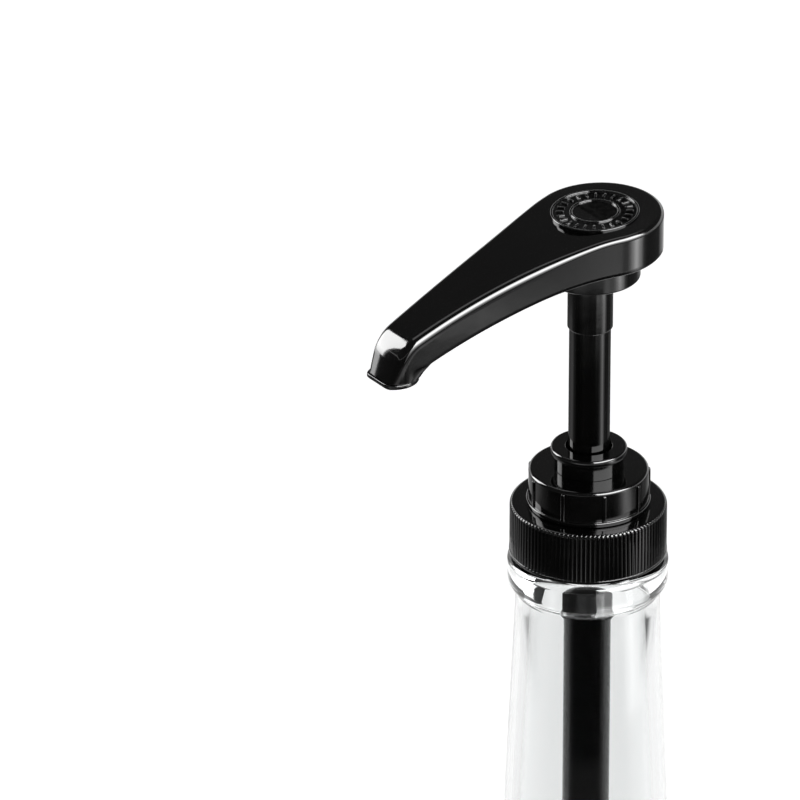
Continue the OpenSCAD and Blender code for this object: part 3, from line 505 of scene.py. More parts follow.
def softBox(name, side, lift, away, width, height, power):
    # an area light that looks at the pump from that side of the camera and that lift above it
    e = math.radians(lift)
    way = aroundCamera(side) * math.cos(e) + Vector((0, 0, math.sin(e)))
    lamp = bpy.data.lights.new(name, "AREA")
    lamp.shape = "RECTANGLE"
    lamp.size = width * mm
    lamp.size_y = height * mm
    lamp.energy = power
    light = bpy.data.objects.new(name, lamp)
    light.location = pumpMiddle * mm + way * away * mm
    light.rotation_euler = way.to_track_quat("Z", "Y").to_euler()
    light.visible_camera = False
    bpy.context.scene.collection.objects.link(light)
    return light


def addStudio():
    # Screens as sides, glow by height and distance: the cards glow, and the flags in front of them are dark.
    # The floor is so wide that a camera that sees the whole dispenser still stands inside its wall.
    screens = {"cardRight": ((15, 83), [(1, 2), (10, 4.5), (20, 10), (28, 20), (35, 26), (50, 22),
                                        (57, 9), (61, 1)], 1500),
               "cardLeft": ((-128, -103), [(1, 10), (11, 15), (42, 15)], 1500),
               "cardLeftLow": ((-135, -106), [(-9, 3), (0.5, 7)], 1500),
               "flagLeft": ((-106, -101), [(-9, 0.05), (0.5, 0.05)], 1480),
               "flagFront": ((-101, 14), [(-9, 0.05), (17, 0.05)], 1480)}
    studio = {"floorRadius": 14000, "wallFoot": 2600, "wallHeight": 5000, "footSteps": 8, "sides": 96,
              "floorTone": "#f4f4f4", "floorGlow": 0.78, "skyTone": "#ffffff", "skyGlow": 0.09}
    boxAbove = {"side": 190, "lift": 66, "away": 1900, "width": 1500, "height": 900, "power": 5}
    white = glowMaterial("paperFloorPaleMatt", studio["floorTone"], studio["floorGlow"])
    foot = studio["wallFoot"]
    profile = [(0, 0), (studio["floorRadius"] - foot, 0)]
    profile += arc(studio["floorRadius"] - foot, foot, foot, -90, 0, studio["footSteps"])
    profile += [(studio["floorRadius"], studio["wallHeight"])]
    floor = turned("studioFloor", profile, steps=studio["sides"], closed=False)
    floor.data.materials.append(white)
    gradedTable()
    for name, (sides, stops, away) in screens.items():
        card(name, sides, stops, away)
    softBox("boxAbove", **boxAbove)
    world = bpy.data.worlds.new("studioAir")
    world.use_nodes = True
    sky = world.node_tree.nodes["Background"]
    sky.inputs["Color"].default_value = tone(studio["skyTone"])
    sky.inputs["Strength"].default_value = studio["skyGlow"]
    bpy.context.scene.world = world
    bpy.context.scene.view_settings.view_transform = "Standard"


addStudio()
print("camera and studio ready")


# Bottle: foot ring, straight body, shoulder, flared neck, bead and threaded finish, turned in one go.
def makeBottle():
    high = span("bottle")[1]
    closureLow = span("closure")[0].z
    size = {"wall": 3.5, "base": 7, "corner": 7, "innerCorner": 6, "floorRise": 0.3, "punt": 2,
            "puntRise": 0.6, "puntRim": 12, "puntRimRise": 0.2, "ringInside": 7, "ringFoot": 4.5,
            "ringRound": 2.5, "shoulder": 45, "flare": 80, "neckLength": 66, "neckRadius": 17.35,
            "neckFoot": 20.1, "neckTaper": 0.06, "neckEnd": 4, "beadGap": 0.9, "beadRadius": 19.4,
            "beadHeight": 8.6, "beadLean": 0.1, "beadFoot": 0.3, "beadRise": 1.6, "mouth": 12,
            "boreTop": 1, "boreTopRound": 4, "boreLowRound": 6, "boreEase": 0.2, "boreStep": 0.4,
            "boreEnd": 6, "finish": 15, "finishFoot": 2, "lipEdge": 0.8, "lipRound": 0.7, "lipDepth": 3,
            "threadCrest": 16.1, "pitch": 3.175, "turns": 1.25, "threadDrop": 2.1, "threadRoot": 1.5,
            "threadFlat": 0.3, "runOut": 0.08, "steps": 256, "threadRows": 44, "bendSteps": 28,
            "cornerSteps": 12}
    bodyRadius = high.y
    lip = high.z
    punt, finish, mouth = size["punt"], size["finish"], size["mouth"]
    beadTop = closureLow - size["beadGap"]
    beadLow = beadTop - size["beadHeight"]
    neckLow = beadLow - size["neckLength"]
    slope = math.atan((size["neckFoot"] - size["neckRadius"]) / size["neckLength"])
    shoulder, flare = size["shoulder"], size["flare"]
    reach = shoulder + flare
    turn = math.acos((shoulder + flare * math.cos(slope) - bodyRadius + size["neckFoot"]) / reach)
    shoulderX = bodyRadius - shoulder
    shoulderZ = neckLow - reach * math.sin(turn) + flare * math.sin(slope)
    flareX = shoulderX + reach * math.cos(turn)
    flareZ = shoulderZ + reach * math.sin(turn)
    turnDegrees, slopeDegrees = math.degrees(turn), math.degrees(slope)
    footX = bodyRadius - size["corner"]
    ringX = footX - size["ringInside"]
    threadLow = lip - size["threadDrop"] - size["turns"] * size["pitch"]
    bends, corners = size["bendSteps"], size["cornerSteps"]

    outside = [(0, punt + size["puntRise"]), (footX - size["puntRim"], punt + size["puntRimRise"]),
               (ringX, punt)]
    outside += rounded([(ringX, punt), (footX - size["ringFoot"], 0, size["ringRound"]), (footX, 0)],
                       loop=False)[1:-1]
    outside += arc(footX, size["corner"], size["corner"], -90, 0, corners)
    outside += arc(shoulderX, shoulderZ, shoulder, 0, turnDegrees, bends)
    outside += arc(flareX, flareZ, flare, 180 + turnDegrees, 180 + slopeDegrees, bends)
    outside += rounded([(size["neckRadius"] + size["neckTaper"], beadLow - size["neckEnd"]),
                        (size["neckRadius"], beadLow - size["beadFoot"], 1.6),
                        (size["beadRadius"] - size["beadLean"], beadLow + size["beadRise"], 2.6),
                        (size["beadRadius"], beadTop, 1.6), (finish, beadTop, 0.5),
                        (finish, beadTop + size["finishFoot"])], 8, loop=False)
    finishLow, finishHigh = beadTop + size["finishFoot"], lip - size["lipEdge"]
    rows = size["threadRows"]
    outside += [(finish, finishLow + (finishHigh - finishLow) * i / rows) for i in range(1, rows)]
    outside += rounded([(finish, finishHigh), (finish, lip, size["lipRound"]),
                        (mouth, lip, size["lipRound"]), (mouth, lip - size["lipDepth"])], loop=False)
    inner = bodyRadius - size["wall"]
    innerCorner = size["innerCorner"]
    floorZ = punt + size["base"]
    neckBore = size["neckRadius"] - size["wall"]
    inside = rounded([(mouth, beadTop + size["boreTop"]),
                      (mouth, beadTop - size["boreEase"], size["boreTopRound"]),
                      (neckBore, beadLow + size["boreStep"], size["boreLowRound"]),
                      (neckBore + size["neckTaper"], beadLow - size["boreEnd"])], 6, loop=False)
    inside += arc(flareX, flareZ, flare + size["wall"], 180 + slopeDegrees, 180 + turnDegrees, bends)[1:]
    inside += arc(shoulderX, shoulderZ, shoulder - size["wall"], turnDegrees, 0, bends)
    inside += arc(inner - innerCorner, floorZ + innerCorner, innerCorner, 0, -90, corners)
    inside += [(0, floorZ + size["floorRise"])]

    def raiseThread(angle, r, z):
        # one start of a trapezoid thread that rises with the angle and runs out at both ends
        if r != finish or not finishLow <= z <= finishHigh:
            return r, z
        height = 0
        for lap in (0, 1):
            turnsDone = angle / (2 * math.pi) + lap
            if turnsDone <= size["turns"]:
                centre = threadLow + turnsDone * size["pitch"]
                off = abs(z - centre)
                ends = smoothStep(0, size["runOut"], turnsDone)
                ends *= smoothStep(0, size["runOut"], size["turns"] - turnsDone)
                flank = 1 - smoothStep(size["threadFlat"], size["threadRoot"] / 2, off)
                height = max(height, flank * ends * (size["threadCrest"] - finish))
        return r + height, z

    bottle = turned("bottleGlass", outside + inside, steps=size["steps"], closed=False, reshape=raiseThread)
    return place(bottle, "bottle", "bottle", flintGlass)


makeBottle()
print("bottle ready")


# Screw closure with fine grip ribs.
def makeClosure():
    low, high = span("closure")
    size = {"ribs": 108, "groove": 0.45, "lipOut": 0.1, "lipHeight": 0.8, "lipStep": 0.05, "bore": 16.6,
            "topWall": 1.5, "hole": 12.48, "edge": 0.9, "edgeShare": 0.35, "perRib": 10,
            "flankUp": (0, 0.24), "flankDown": (0.6, 0.84), "grooveFoot": 0.25, "grooveEnd": 0.3,
            "insideReach": 0.75, "rows": 6, "rowsFrom": 0.3, "rowsShort": 1.2, "nearly": 1e-6}
    lipRadius = high.y
    ribRadius = lipRadius - size["lipOut"]
    valley = ribRadius - size["groove"]
    top = high.z
    lipTop = low.z + size["lipHeight"]
    profile = rounded([(size["bore"], low.z, 0.15), (lipRadius, low.z, 0.25), (lipRadius, lipTop, 0.2),
                       (ribRadius, lipTop + size["lipStep"]), (ribRadius, top, size["edge"]),
                       (size["hole"], top, 0.2), (size["hole"], top - size["topWall"], 0.1),
                       (size["bore"], top - size["topWall"], 0.6)], 6)
    ribLow, ribHigh = lipTop, top - size["edge"] * size["edgeShare"]

    def groove(angle, r, z):
        # rounded grip ribs between the lip and the rounded top edge
        if r < valley - size["insideReach"] or z < ribLow:
            return r, z
        share = (angle * size["ribs"] / (2 * math.pi)) % 1
        rib = smoothStep(*size["flankUp"], share) * (1 - smoothStep(*size["flankDown"], share))
        fade = smoothStep(ribLow, ribLow + size["grooveFoot"], z)
        fade *= 1 - smoothStep(ribHigh - size["grooveEnd"], ribHigh + size["grooveEnd"], z)
        return r - size["groove"] * (1 - rib) * fade, z

    # rows of points up the ribs, put in after the lip's last corner
    rows = size["rows"]
    rowStep = (ribHigh - ribLow - size["rowsShort"]) / rows
    wall = [(ribRadius, ribLow + size["rowsFrom"] + rowStep * i) for i in range(rows + 1)]
    start = next(i for i, (r, z) in enumerate(profile) if z > lipTop and r >= ribRadius - size["nearly"])
    profile = profile[:start + 1] + wall + profile[start + 1:]
    closure = turned("screwClosure", profile, steps=size["ribs"] * size["perRib"], reshape=groove)
    return place(closure, "closure", "closure")


makeClosure()
print("closure ready")


# Tier above the closure, with nine ribs and a ledge.
def makeChaplet():
    low, high = span("chaplet")
    closureTop = span("closure")[1].z
    size = {"ledge": 14.95, "ledgeHeight": 1.1, "ledgeGap": 0.1, "tier": 14.45, "edge": 0.8, "ribs": 9,
            "ribStart": 28.8, "ribWidth": 1.0, "ribOut": 0.42, "ribDrop": 0.9, "ribDeep": 1.2,
            "ribSunk": 0.4, "ribEdge": 0.28, "seat": 8.35, "hollow": 12.65, "wall": 1.8, "collar": 12.4,
            "plug": 9.55, "spigot": 11.2}
    ledgeLow = closureTop + size["ledgeGap"]
    tierLow = ledgeLow + size["ledgeHeight"]
    top = high.z
    ceiling = top - size["wall"]
    flangeTop = span("pump_housing")[1].z
    profile = rounded([(size["seat"], low.z), (size["plug"], low.z, 0.2), (size["plug"], ceiling),
                       (size["hollow"], ceiling, 0.3), (size["hollow"], tierLow), (size["spigot"], tierLow),
                       (size["spigot"], flangeTop), (size["collar"], flangeTop),
                       (size["collar"], ledgeLow, 0.1), (size["ledge"], ledgeLow, 0.18),
                       (size["ledge"], tierLow, 0.3), (size["tier"], tierLow, 0.14),
                       (size["tier"], top, size["edge"]), (size["seat"], top, 0.15)], 6)
    parts = [turned("tierShell", profile, steps=160)]
    ribHeight = top - size["ribDrop"] - tierLow + size["ribSunk"]
    verts, faces = roundedBar(size["ribDeep"], size["ribWidth"], ribHeight, size["ribEdge"])
    shift = Vector((size["tier"] + size["ribOut"] - size["ribDeep"] / 2, 0, tierLow - size["ribSunk"]))
    for i in range(size["ribs"]):
        spin = Matrix.Rotation(math.radians(size["ribStart"] + i * 360 / size["ribs"]), 3, "Z")
        parts.append(barAt("tierRib", verts, faces, spin, shift))
    return place(joined("ribbedTier", parts), "pump_body", "chaplet")


# Flanged bush that guides the stem.
def makeGuide():
    low, high = span("stem_guide")
    size = {"flange": 9.2, "flangeHeight": 1.8, "edge": 0.6, "body": 8.3, "mouth": 5.6, "bore": 5.04,
            "boreLength": 8}
    under = high.z - size["flangeHeight"]
    boreTop = low.z + size["boreLength"]
    return turnedPiece("stemGuide", "pump_body", "stem_guide",
                       [(size["bore"], low.z), (size["body"], low.z), (size["body"], under, 0.25),
                        (size["flange"], under, 0.3), (size["flange"], high.z, size["edge"]),
                        (size["mouth"], high.z, 0.2), (size["mouth"], boreTop), (size["bore"], boreTop)],
                       6, 128)


# Pump cylinder in the bottle's neck, and the dip tube under it.
def makeHousing():
    low, high = span("pump_housing")
    size = {"tube": 5.7, "bore": 5.1, "cup": 10.8, "cupBore": 9.6, "cupDepth": 8.6, "coneFoot": 2.7,
            "coneTop": 0.2, "flange": 14.8, "flangeHeight": 1.0, "socketDepth": 8, "dipFit": 4.05,
            "inlet": 1.8, "inletLength": 3.5, "seatHeight": 3.5}
    cupFloor = high.z - size["cupDepth"]
    flangeLow = high.z - size["flangeHeight"]
    socketTop = low.z + size["socketDepth"]
    inletTop = socketTop + size["inletLength"]
    return turnedPiece("pumpCylinder", "pump_body", "pump_housing",
                       [(size["dipFit"], low.z, 0.2), (size["tube"], low.z, 0.3),
                        (size["tube"], cupFloor - size["coneFoot"], 1.0),
                        (size["cup"], cupFloor - size["coneTop"], 0.8), (size["cup"], flangeLow, 0.3),
                        (size["flange"], flangeLow, 0.2), (size["flange"], high.z, 0.2),
                        (size["cupBore"], high.z, 0.2), (size["cupBore"], cupFloor, 0.3),
                        (size["bore"], cupFloor, 0.2), (size["bore"], inletTop + size["seatHeight"]),
                        (size["inlet"], inletTop), (size["inlet"], socketTop), (size["dipFit"], socketTop)],
                       5, 112)


def makeDipTube():
    low, high = span("dip_tube")
    size = {"radius": 4.0, "bore": 3.0}
    return turnedPiece("dipTube", "pump_body", "dip_tube",
                       [(size["bore"], low.z, 0.1), (size["radius"], low.z, 0.2),
                        (size["radius"], high.z, 0.2), (size["bore"], high.z, 0.1)], 4, 72)


makeChaplet()
makeGuide()
makeHousing()
makeDipTube()
print("pump body ready")


# Stem with the seat of the upper valve in its top, and the sleeve round it.
def makeStem():
    low, high = span("stem")
    size = {"radius": 5.0, "neck": 4.12, "bore": 2.7, "valveBore": 3.3, "valveDepth": 9.3,
            "sleeveGap": 0.05}
    shoulder = span("stem_sleeve")[0].z - size["sleeveGap"]
    valveFloor = high.z - size["valveDepth"]
    return turnedPiece("plungerStem", "plunger", "stem",
                       [(size["bore"], low.z, 0.1), (size["radius"], low.z, 0.2),
                        (size["radius"], shoulder, 0.15), (size["neck"], shoulder),
                        (size["neck"], high.z, 0.15), (size["valveBore"], high.z, 0.1),
                        (size["valveBore"], valveFloor), (size["bore"], valveFloor)], 4, 96)


def makeSleeve():
    low, high = span("stem_sleeve")
    size = {"radius": 5.45, "bore": 4.16}
    return turnedPiece("stemSleeve", "head", "stem_sleeve",
                       [(size["bore"], low.z, 0.1), (size["radius"], low.z, 0.3),
                        (size["radius"], high.z, 0.15), (size["bore"], high.z, 0.1)], 5, 96)


# Return spring: one wire, shortened by the pump's stroke.
def makeSpring():
    low, high = span("return_spring")
    size = {"wire": 0.45, "coil": 3.9, "turns": 14, "closedTurns": 1, "closedGap": 0.05, "perTurn": 28,
            "sides": 10}
    dead = size["closedTurns"]
    bottom, top = low.z + size["wire"], high.z - size["wire"]
    closedRise = 2 * size["wire"] + size["closedGap"]

    def height(t):
        # the wire's height after t turns: closed turns at both ends, an even rise between them
        if t < dead:
            return bottom + closedRise * t
        if t > size["turns"] - dead:
            return top - closedRise * (size["turns"] - t)
        share = (t - dead) / (size["turns"] - 2 * dead)
        return bottom + closedRise * dead + share * (top - bottom - 2 * closedRise * dead)

    rings = []
    for i in range(size["turns"] * size["perTurn"] + 1):
        t = i / size["perTurn"]
        a = 2 * math.pi * t
        out = Vector((math.cos(a), math.sin(a), 0))
        centre = out * size["coil"] + Vector((0, 0, height(t)))
        ring = []
        for k in range(size["sides"]):
            b = 2 * math.pi * k / size["sides"]
            ring.append(centre + (out * math.cos(b) + Vector((0, 0, math.sin(b)))) * size["wire"])
        rings.append(ring)
    spring = skin("returnSpring", rings)
    place(spring, "pump_body", "return_spring", valveSteel)
    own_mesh(spring)
    return spring


makeStem()
makeSleeve()
makeSpring()
print("stem, sleeve and spring ready")


# Head: an outline seen from above, and a top and a lower edge seen from the side.
shellLow, shellHigh = span("head_shell")
head = {"endRadius": shellHigh.y, "noseX": 57.3, "noseRadius": 6.0, "sideRadius": 272, "topTilt": 2.6,
        "armTilt": 11.8, "noseTilt": 23.2, "frontTilt": 72, "rollRadius": 9.5, "rollBefore": 2.8,
        "flatTo": 0.9, "armFrom": 8.2, "height": 10, "underTilts": (3, 15, 22), "underFrom": 4,
        "underMid": 22, "spoutFillet": 1.6, "topRound": 1.35, "armRound": 1.85, "armRoundFrom": (6, 26),
        "noseRound": 1.9, "noseRoundFrom": (44, 55), "frontBulge": 0.015, "bulgeFrom": (-4, 3),
        "lowRound": 0.55, "wall": 1.2, "plate": 1.2, "boreRadius": 4.25, "boreFront": 2.72,
        "boreHeight": 4.6, "boreCorner": 0.3, "badgeX": -1.1, "runUp": 25, "armEnd": 46}
endX = shellLow.x + head["endRadius"]
spoutZ = shellLow.z
armTo = head["noseX"] - head["rollBefore"]
spoutBack = head["noseX"] - head["noseRadius"]
topZ = shellHigh.z - head["endRadius"] * math.tan(math.radians(head["topTilt"]))

# centre of the long hollow arc that touches the round end and the round nose, seen from above
sideSpan = head["noseX"] - endX
sideAlong = ((head["endRadius"] + head["sideRadius"]) ** 2 - (head["noseRadius"] + head["sideRadius"]) ** 2
             + sideSpan ** 2) / (2 * sideSpan)
sideX = endX + sideAlong
sideY = math.sqrt((head["endRadius"] + head["sideRadius"]) ** 2 - sideAlong ** 2)


def planAt(x, inset):
    # half width of the head at x and the outward direction of its side there, with the outline set in
    endR, noseR, sideR = head["endRadius"] - inset, head["noseRadius"] - inset, head["sideRadius"] + inset
    endTouch = endX + endR * (sideX - endX) / (endR + sideR)
    noseTouch = head["noseX"] + noseR * (sideX - head["noseX"]) / (noseR + sideR)
    if x <= endTouch:
        y = math.sqrt(max(0, endR ** 2 - (x - endX) ** 2))
        return y, Vector((x - endX, y, 0)) / endR
    if x <= noseTouch:
        y = sideY - math.sqrt(sideR ** 2 - (x - sideX) ** 2)
        return y, Vector((sideX - x, sideY - y, 0)) / sideR
    y = math.sqrt(max(0, noseR ** 2 - (x - head["noseX"]) ** 2))
    return y, Vector((x - head["noseX"], y, 0)) / noseR


class SideEdge:
    # an edge seen from the side: straight stretches and arcs that each start where the last one ends
    def __init__(self, x, z, tilt):
        self.parts = []
        self.x, self.z, self.tilt = x, z, math.radians(tilt)
        self.length = 0

    def straight(self, length):
        self.parts.append((self.x, self.z, self.tilt, self.tilt, length))
        self.x += length * math.cos(self.tilt)
        self.z -= length * math.sin(self.tilt)
        self.length += length
        return self

    def bend(self, tilt, radius):
        end = math.radians(tilt)
        length = radius * (end - self.tilt)
        self.parts.append((self.x, self.z, self.tilt, end, length))
        self.x += radius * (math.sin(end) - math.sin(self.tilt))
        self.z += radius * (math.cos(end) - math.cos(self.tilt))
        self.tilt = end
        self.length += length
        return self

    def bendToX(self, tilt, x):
        return self.bend(tilt, (x - self.x) / (math.sin(math.radians(tilt)) - math.sin(self.tilt)))

    def at(self, distance, offset=0, nearly=1e-9):
        # point at that distance along the edge, moved by offset along its upward normal, and the tilt there
        for x, z, start, end, length in self.parts:
            if distance <= length + nearly:
                break
            distance -= length
        if start == end:
            x, z, tilt = x + distance * math.cos(start), z - distance * math.sin(start), start
        else:
            tilt = start + (end - start) * min(1, distance / length)
            radius = length / (end - start)
            x += radius * (math.sin(tilt) - math.sin(start))
            z += radius * (math.cos(tilt) - math.cos(start))
        return x + offset * math.sin(tilt), z + offset * math.cos(tilt), tilt

    def find(self, x, offset=0, halvings=48):
        # distance along the edge at which its moved point has that x
        low, high = 0, self.length
        for _ in range(halvings):
            middle = (low + high) / 2
            if self.at(middle, offset)[0] < x:
                low = middle
            else:
                high = middle
        return (low + high) / 2


def topEdge():
    # flat over the badge, along the arm, round the nose and down its front
    runUp = head["runUp"]
    tilt = math.radians(head["topTilt"])
    startX = endX - runUp
    edge = SideEdge(startX, topZ + runUp * math.tan(tilt), head["topTilt"])
    edge.straight((head["flatTo"] - startX) / math.cos(tilt))
    edge.bendToX(head["armTilt"], head["armFrom"])
    edge.bendToX(head["noseTilt"], armTo)
    edge.bend(head["frontTilt"], head["rollRadius"])
    return edge.straight((edge.z - spoutZ) / math.sin(edge.tilt))


def lowEdge():
    # flat round the skirt, hollow under the arm, and down the back of the spout
    runUp = head["runUp"]
    tilts = head["underTilts"]
    tilt = math.radians(tilts[0])
    startX = endX - runUp
    edge = SideEdge(startX, topZ - head["height"] + runUp * math.tan(tilt), tilts[0])
    edge.straight((head["underFrom"] - startX) / math.cos(tilt))
    edge.bendToX(tilts[1], head["underMid"])
    midRise, endRise = (math.sin(math.radians(t)) for t in tilts[1:])
    sweep = (spoutBack - head["underMid"]) / (endRise - midRise)
    filletRun = head["spoutFillet"] * (1 - endRise)
    last = math.asin(midRise + (spoutBack - filletRun - head["underMid"]) / sweep)
    edge.bend(math.degrees(last), sweep)
    edge.bend(90, head["spoutFillet"])
    return edge.straight(edge.z - spoutZ)


headTop = topEdge()
headLow = lowEdge()
spoutLedge = headLow.parts[-1][4]
plateEnd = spoutBack - head["spoutFillet"]


def headSolid(name, topOffset, lowOffset, inset, topRound, lowRound, endAt=None, useLowForTop=False):
    # ribs round the end, along the arm and, where endAt is None, over the nose and down the spout
    rows = {"top": 8, "round": 8, "side": 10, "edge": 4, "under": 5, "end": 36, "arm": 40, "nose": 56}
    top = headLow if useLowForTop else headTop
    stations = []
    touch = math.degrees(math.acos(-(sideX - endX) / (head["endRadius"] + head["sideRadius"])))
    endR = head["endRadius"] - inset
    for i in range(rows["end"] + 1):
        away = math.cos(math.radians(touch * i / rows["end"]))
        stations.append((endX - (endR - topRound) * away, endX - (endR - lowRound) * away))
    armEnd = head["armEnd"] if endAt is None else endAt
    armStart = stations[-1][0]
    armStep = (armEnd - armStart) / rows["arm"]
    stations += [(armStart + armStep * i,) * 2 for i in range(1, rows["arm"] + 1)]
    pairs = [(top.find(a, topOffset - topRound), headLow.find(b, lowOffset + lowRound))
             for a, b in stations]
    armRibs = len(pairs)
    if endAt is None:
        topFrom, lowFrom = pairs[-1]
        for i in range(1, rows["nose"] + 1):
            share = i / rows["nose"]
            topAt = topFrom + (headTop.length - topFrom) * share
            pairs.append((topAt, lowFrom + (headLow.length - lowFrom) * share))
    ribs = []
    for topAt, lowAt in pairs:
        x = top.at(topAt)[0]
        radius = topRound
        if endAt is None:
            radius += (head["armRound"] - topRound) * smoothStep(*head["armRoundFrom"], x)
            radius += (head["noseRound"] - head["armRound"]) * smoothStep(*head["noseRoundFrom"], x)
        ribs.append(ladderRib(top, topAt, lowAt, topOffset, lowOffset, inset, radius, lowRound, rows))
    if endAt is None:
        first = rows["top"] + rows["round"]
        ribs[armRibs:] = [roundBack(rib, first) for rib in ribs[armRibs:]]
        ribs[-1] = [Vector((p.x, p.y, spoutZ)) for p in ribs[-1]]
        ribs = [[bulged(point) for point in rib] for rib in ribs]
    return skin(name, ribs)


def bulged(point):
    # the front of the nose is slightly round when seen from above
    behind, before = head["bulgeFrom"]
    share = smoothStep(head["noseX"] + behind, head["noseX"] + before, point.x)
    return Vector((point.x - head["frontBulge"] * point.y ** 2 * share, point.y, point.z))


def roundBack(rib, first, fadeLow=1.5, fadeHigh=1.4):
    # below the arm the back of the spout is a half circle round the nose's axis, seen from above
    half = len(rib) // 2
    ledge = headLow.at(headLow.length)[1] + spoutLedge
    start = rib[first]
    startAngle = math.atan2(abs(start.y), start.x - head["noseX"])
    bent = list(rib)
    for i in range(first + 1, half + 1):
        share = (i - first) / (half - first)
        angle = startAngle + (math.pi - startAngle) * share
        spot = Vector((head["noseX"] + head["noseRadius"] * math.cos(angle),
                       head["noseRadius"] * math.sin(angle), start.z + (rib[half].z - start.z) * share))
        away = 1 - smoothStep(spoutZ - fadeLow, ledge + fadeHigh, min(rib[i].z, spot.z))
        bent[i] = rib[i].lerp(spot, away)
        if i < half:
            bent[-i] = Vector((bent[i].x, -bent[i].y, bent[i].z))
    return bent


def ladderRib(top, topAt, lowAt, topOffset, lowOffset, inset, topRound, lowRound, rows):
    # one closed rib of the head: top, rounded edge, side, rounded edge, underside, and up the other side
    x, z, tilt = top.at(topAt, topOffset - topRound)
    y, out = planAt(x, inset + topRound)
    up = Vector((math.sin(tilt), 0, math.cos(tilt)))
    centre = Vector((x, y, z))
    half = [centre + up * topRound + Vector((0, y * (i / rows["top"] - 1), 0))
            for i in range(rows["top"] + 1)]
    half += [centre + swing(up, out, i / rows["round"]) * topRound for i in range(1, rows["round"] + 1)]
    upper = centre + out * topRound
    x, z, tilt = headLow.at(lowAt, lowOffset + lowRound)
    y, out = planAt(x, inset + lowRound)
    down = Vector((-math.sin(tilt), 0, -math.cos(tilt)))
    centre = Vector((x, y, z))
    lower = centre + out * lowRound
    for i in range(1, rows["side"]):
        spot = upper.lerp(lower, i / rows["side"])
        half.append(Vector((spot.x, planAt(spot.x, inset)[0], spot.z)))
    half += [centre + swing(out, down, i / rows["edge"]) * lowRound for i in range(rows["edge"] + 1)]
    half += [centre + down * lowRound - Vector((0, y * i / rows["under"], 0))
             for i in range(1, rows["under"] + 1)]
    other = [Vector((p.x, -p.y, p.z)) for p in half[-2:0:-1]]
    return half + other


def flatFront(radius, cut, z, corner, steps=96):
    # a circle round the nose's axis with a flat front, whose two corners are softened
    ring = []
    for k in range(steps):
        a = 2 * math.pi * k / steps
        reach = radius
        if math.cos(a) > 0:
            flat = cut / math.cos(a)
            reach = min(radius, flat) - max(0, corner - abs(flat - radius)) ** 2 / (4 * corner)
        ring.append((head["noseX"] + reach * math.cos(a), reach * math.sin(a), z))
    return ring


def makeHeadShell():
    # the outer form, less a hollow that opens downwards and the bore that the nozzle plugs into
    size = {"openBelow": 3, "hollowRound": 0.2, "boreBelow": 1}
    shell = headSolid("headShell", 0, 0, 0, head["topRound"], head["lowRound"])
    hollow = headSolid("hollow", -head["wall"], -size["openBelow"], head["wall"], size["hollowRound"],
                       size["hollowRound"], endAt=plateEnd)
    applyCut(shell, hollow)
    lean = 1 / math.tan(math.radians(head["frontTilt"]))
    rings = []
    for rise in (-size["boreBelow"], head["boreHeight"]):
        front = head["boreFront"] - rise * lean
        rings.append(flatFront(head["boreRadius"], front, spoutZ + rise, head["boreCorner"]))
    applyCut(shell, skin("bore", rings))
    return place(shell, "head", "head_shell")


def underZ(x):
    # height of the underside at x, on the head's middle line
    return headLow.at(headLow.find(x))[1]


def makeHeadBase():
    # skirt and stem socket under a thin plate that closes the hollow
    size = {"skirt": 11.9, "skirtBore": 10.4, "socket": 6.6, "socketBore": 5.5, "socketUp": 1.0,
            "step": 0.12, "plateFit": 0.05, "plateRounds": (0.1, 0.2), "sleeveIn": 6, "intoPlate": 0.5,
            "passage": 3.4, "passageUp": 12, "steps": 64}
    skirtZ = span("stem_sleeve")[1].z - size["sleeveIn"]
    socketZ = skirtZ + size["socketUp"]
    ceiling = underZ(0) + size["intoPlate"]

    def meetPlate(angle, r, z):
        # the upper edges of skirt and socket follow the sloping underside
        if z > skirtZ + (ceiling - skirtZ) / 2:
            return r, underZ(r * math.cos(angle)) + size["intoPlate"]
        return r, z

    skirt = turned("skirt", rounded([(size["skirtBore"], skirtZ, 0.3), (size["skirt"], skirtZ, 0.5),
                                     (size["skirt"], ceiling), (size["skirtBore"], ceiling)]),
                   reshape=meetPlate)
    socket = turned("socket", rounded([(size["socketBore"], socketZ, 0.2), (size["socket"], socketZ, 0.3),
                                       (size["socket"], ceiling), (size["socketBore"], ceiling)], 4),
                    steps=96, reshape=meetPlate)
    plate = headSolid("plate", head["plate"], size["step"], head["wall"] + size["plateFit"],
                      *size["plateRounds"], endAt=plateEnd - size["plateFit"], useLowForTop=True)
    # the way from the stem to the spout tube, where the valve ball lifts into
    turns = [2 * math.pi * k / size["steps"] for k in range(size["steps"])]
    rings = [[(size["passage"] * math.cos(a), size["passage"] * math.sin(a), z) for a in turns]
             for z in (skirtZ, ceiling + size["passageUp"])]
    applyCut(plate, skin("passage", rings))
    return place(joined("headUnderside", [skirt, socket, plate]), "head", "head_base")


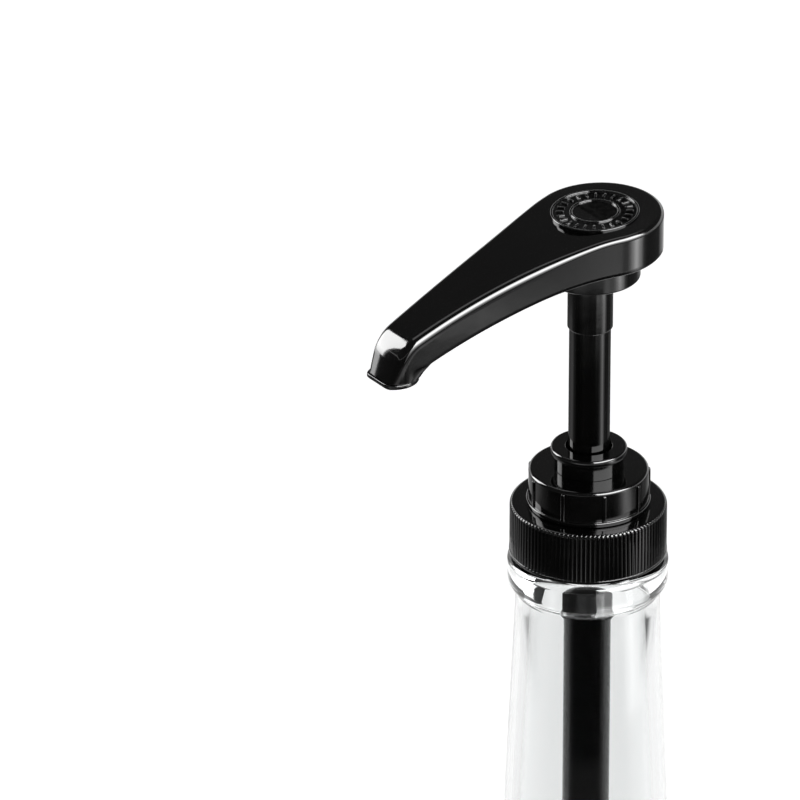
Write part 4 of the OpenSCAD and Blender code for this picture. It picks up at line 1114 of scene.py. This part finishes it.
def makeNozzle():
    low, high = span("nozzle_tip")
    size = {"flange": 6.25, "flangeHeight": 1.05, "cut": 4.6, "plug": 4.2, "plugCut": 2.65,
            "plugTopCut": 1.85, "plugCorner": 0.3, "bore": 1.7, "boreX": -1.4, "boreEdge": 0.3,
            "corner": 0.9, "edge": 0.2, "edgeSteps": 4, "steps": 96}

    def circle(radius, shift, z):
        turns = [2 * math.pi * k / size["steps"] for k in range(size["steps"])]
        return [(head["noseX"] + shift + radius * math.cos(a), radius * math.sin(a), z) for a in turns]

    edge = size["edge"]
    top = low.z + size["flangeHeight"]
    flangeEdge = [(x, low.z + z) for x, z in arc(-edge, edge, edge, -90, 0, size["edgeSteps"])]
    flangeEdge += [(x, top + z) for x, z in arc(-edge, -edge, edge, 0, 90, size["edgeSteps"])]
    rings = [flatFront(size["flange"] + x, size["cut"] + x, z, size["corner"]) for x, z in flangeEdge]
    rings.append(flatFront(size["plug"], size["plugCut"], top, size["plugCorner"]))
    rings.append(flatFront(size["plug"], size["plugTopCut"], high.z, size["plugCorner"]))
    rings.append(circle(size["bore"], size["boreX"], high.z))
    rings.append(circle(size["bore"], size["boreX"], low.z + size["boreEdge"]))
    rings.append(circle(size["bore"] + size["boreEdge"], size["boreX"], low.z))
    return place(skin("nozzleTip", rings, closed=True), "head", "nozzle_tip")


def makeBadge():
    # a disc with two raised rings and evenly spaced ticks between them
    size = {"radius": 10.6, "ring": 0.6, "innerRadius": 6.0, "relief": 0.45, "depth": 1.3,
            "crestRound": 0.22, "footRound": 0.15, "ticks": 24, "tickRadius": 8.3, "tickLength": 1.93,
            "tickWidth": 0.6, "tickHeight": 0.36, "tickSunk": 0.2, "tickEdge": 0.16}
    relief, crest, foot = size["relief"], size["crestRound"], size["footRound"]
    outer, inner = size["radius"], size["innerRadius"]
    outerInside, innerInside = outer - size["ring"], inner - size["ring"]
    profile = rounded([(0, -size["depth"]), (outer, -size["depth"]), (outer, relief, crest),
                       (outerInside, relief, crest), (outerInside, 0, foot), (inner, 0, foot),
                       (inner, relief, crest), (innerInside, relief, crest), (innerInside, 0, foot),
                       (0, 0)], loop=False)
    parts = [turned("badgeDisc", profile, steps=144, closed=False)]
    verts, faces = roundedBar(size["tickLength"], size["tickWidth"], size["tickHeight"] + size["tickSunk"],
                              size["tickEdge"])
    shift = Vector((size["tickRadius"], 0, -size["tickSunk"]))
    for i in range(size["ticks"]):
        spin = Matrix.Rotation((i + 0.5) * 2 * math.pi / size["ticks"], 3, "Z")
        parts.append(barAt("badgeTick", verts, faces, spin, shift))
    badge = joined("badge", parts)
    tilt = Matrix.Rotation(math.radians(head["topTilt"]), 4, "Y")
    badgeZ = topZ - (head["badgeX"] - endX) * math.tan(math.radians(head["topTilt"]))
    badge.data.transform(Matrix.Translation(Vector((head["badgeX"], 0, badgeZ)) * mm) @ tilt)
    return place(badge, "head", "head_medallion")


makeHeadShell()
makeHeadBase()
makeNozzle()
makeBadge()
print("head ready")


# CAD solids that keep their shape and get their finish.
keptNodes = {"closure_gasket": sealRubber, "stem_wiper": sealRubber, "piston_carrier": innerPlastic,
             "piston_seal": innerPlastic, "ball_cage": innerPlastic, "discharge_seat": innerPlastic,
             "ball_stop": innerPlastic, "spout_tube": innerPlastic, "suction_ball": valveSteel,
             "discharge_ball": valveSteel}
for name, material in keptNodes.items():
    nodes[name].data.materials.clear()
    nodes[name].data.materials.append(material)
print("inner pieces finished")
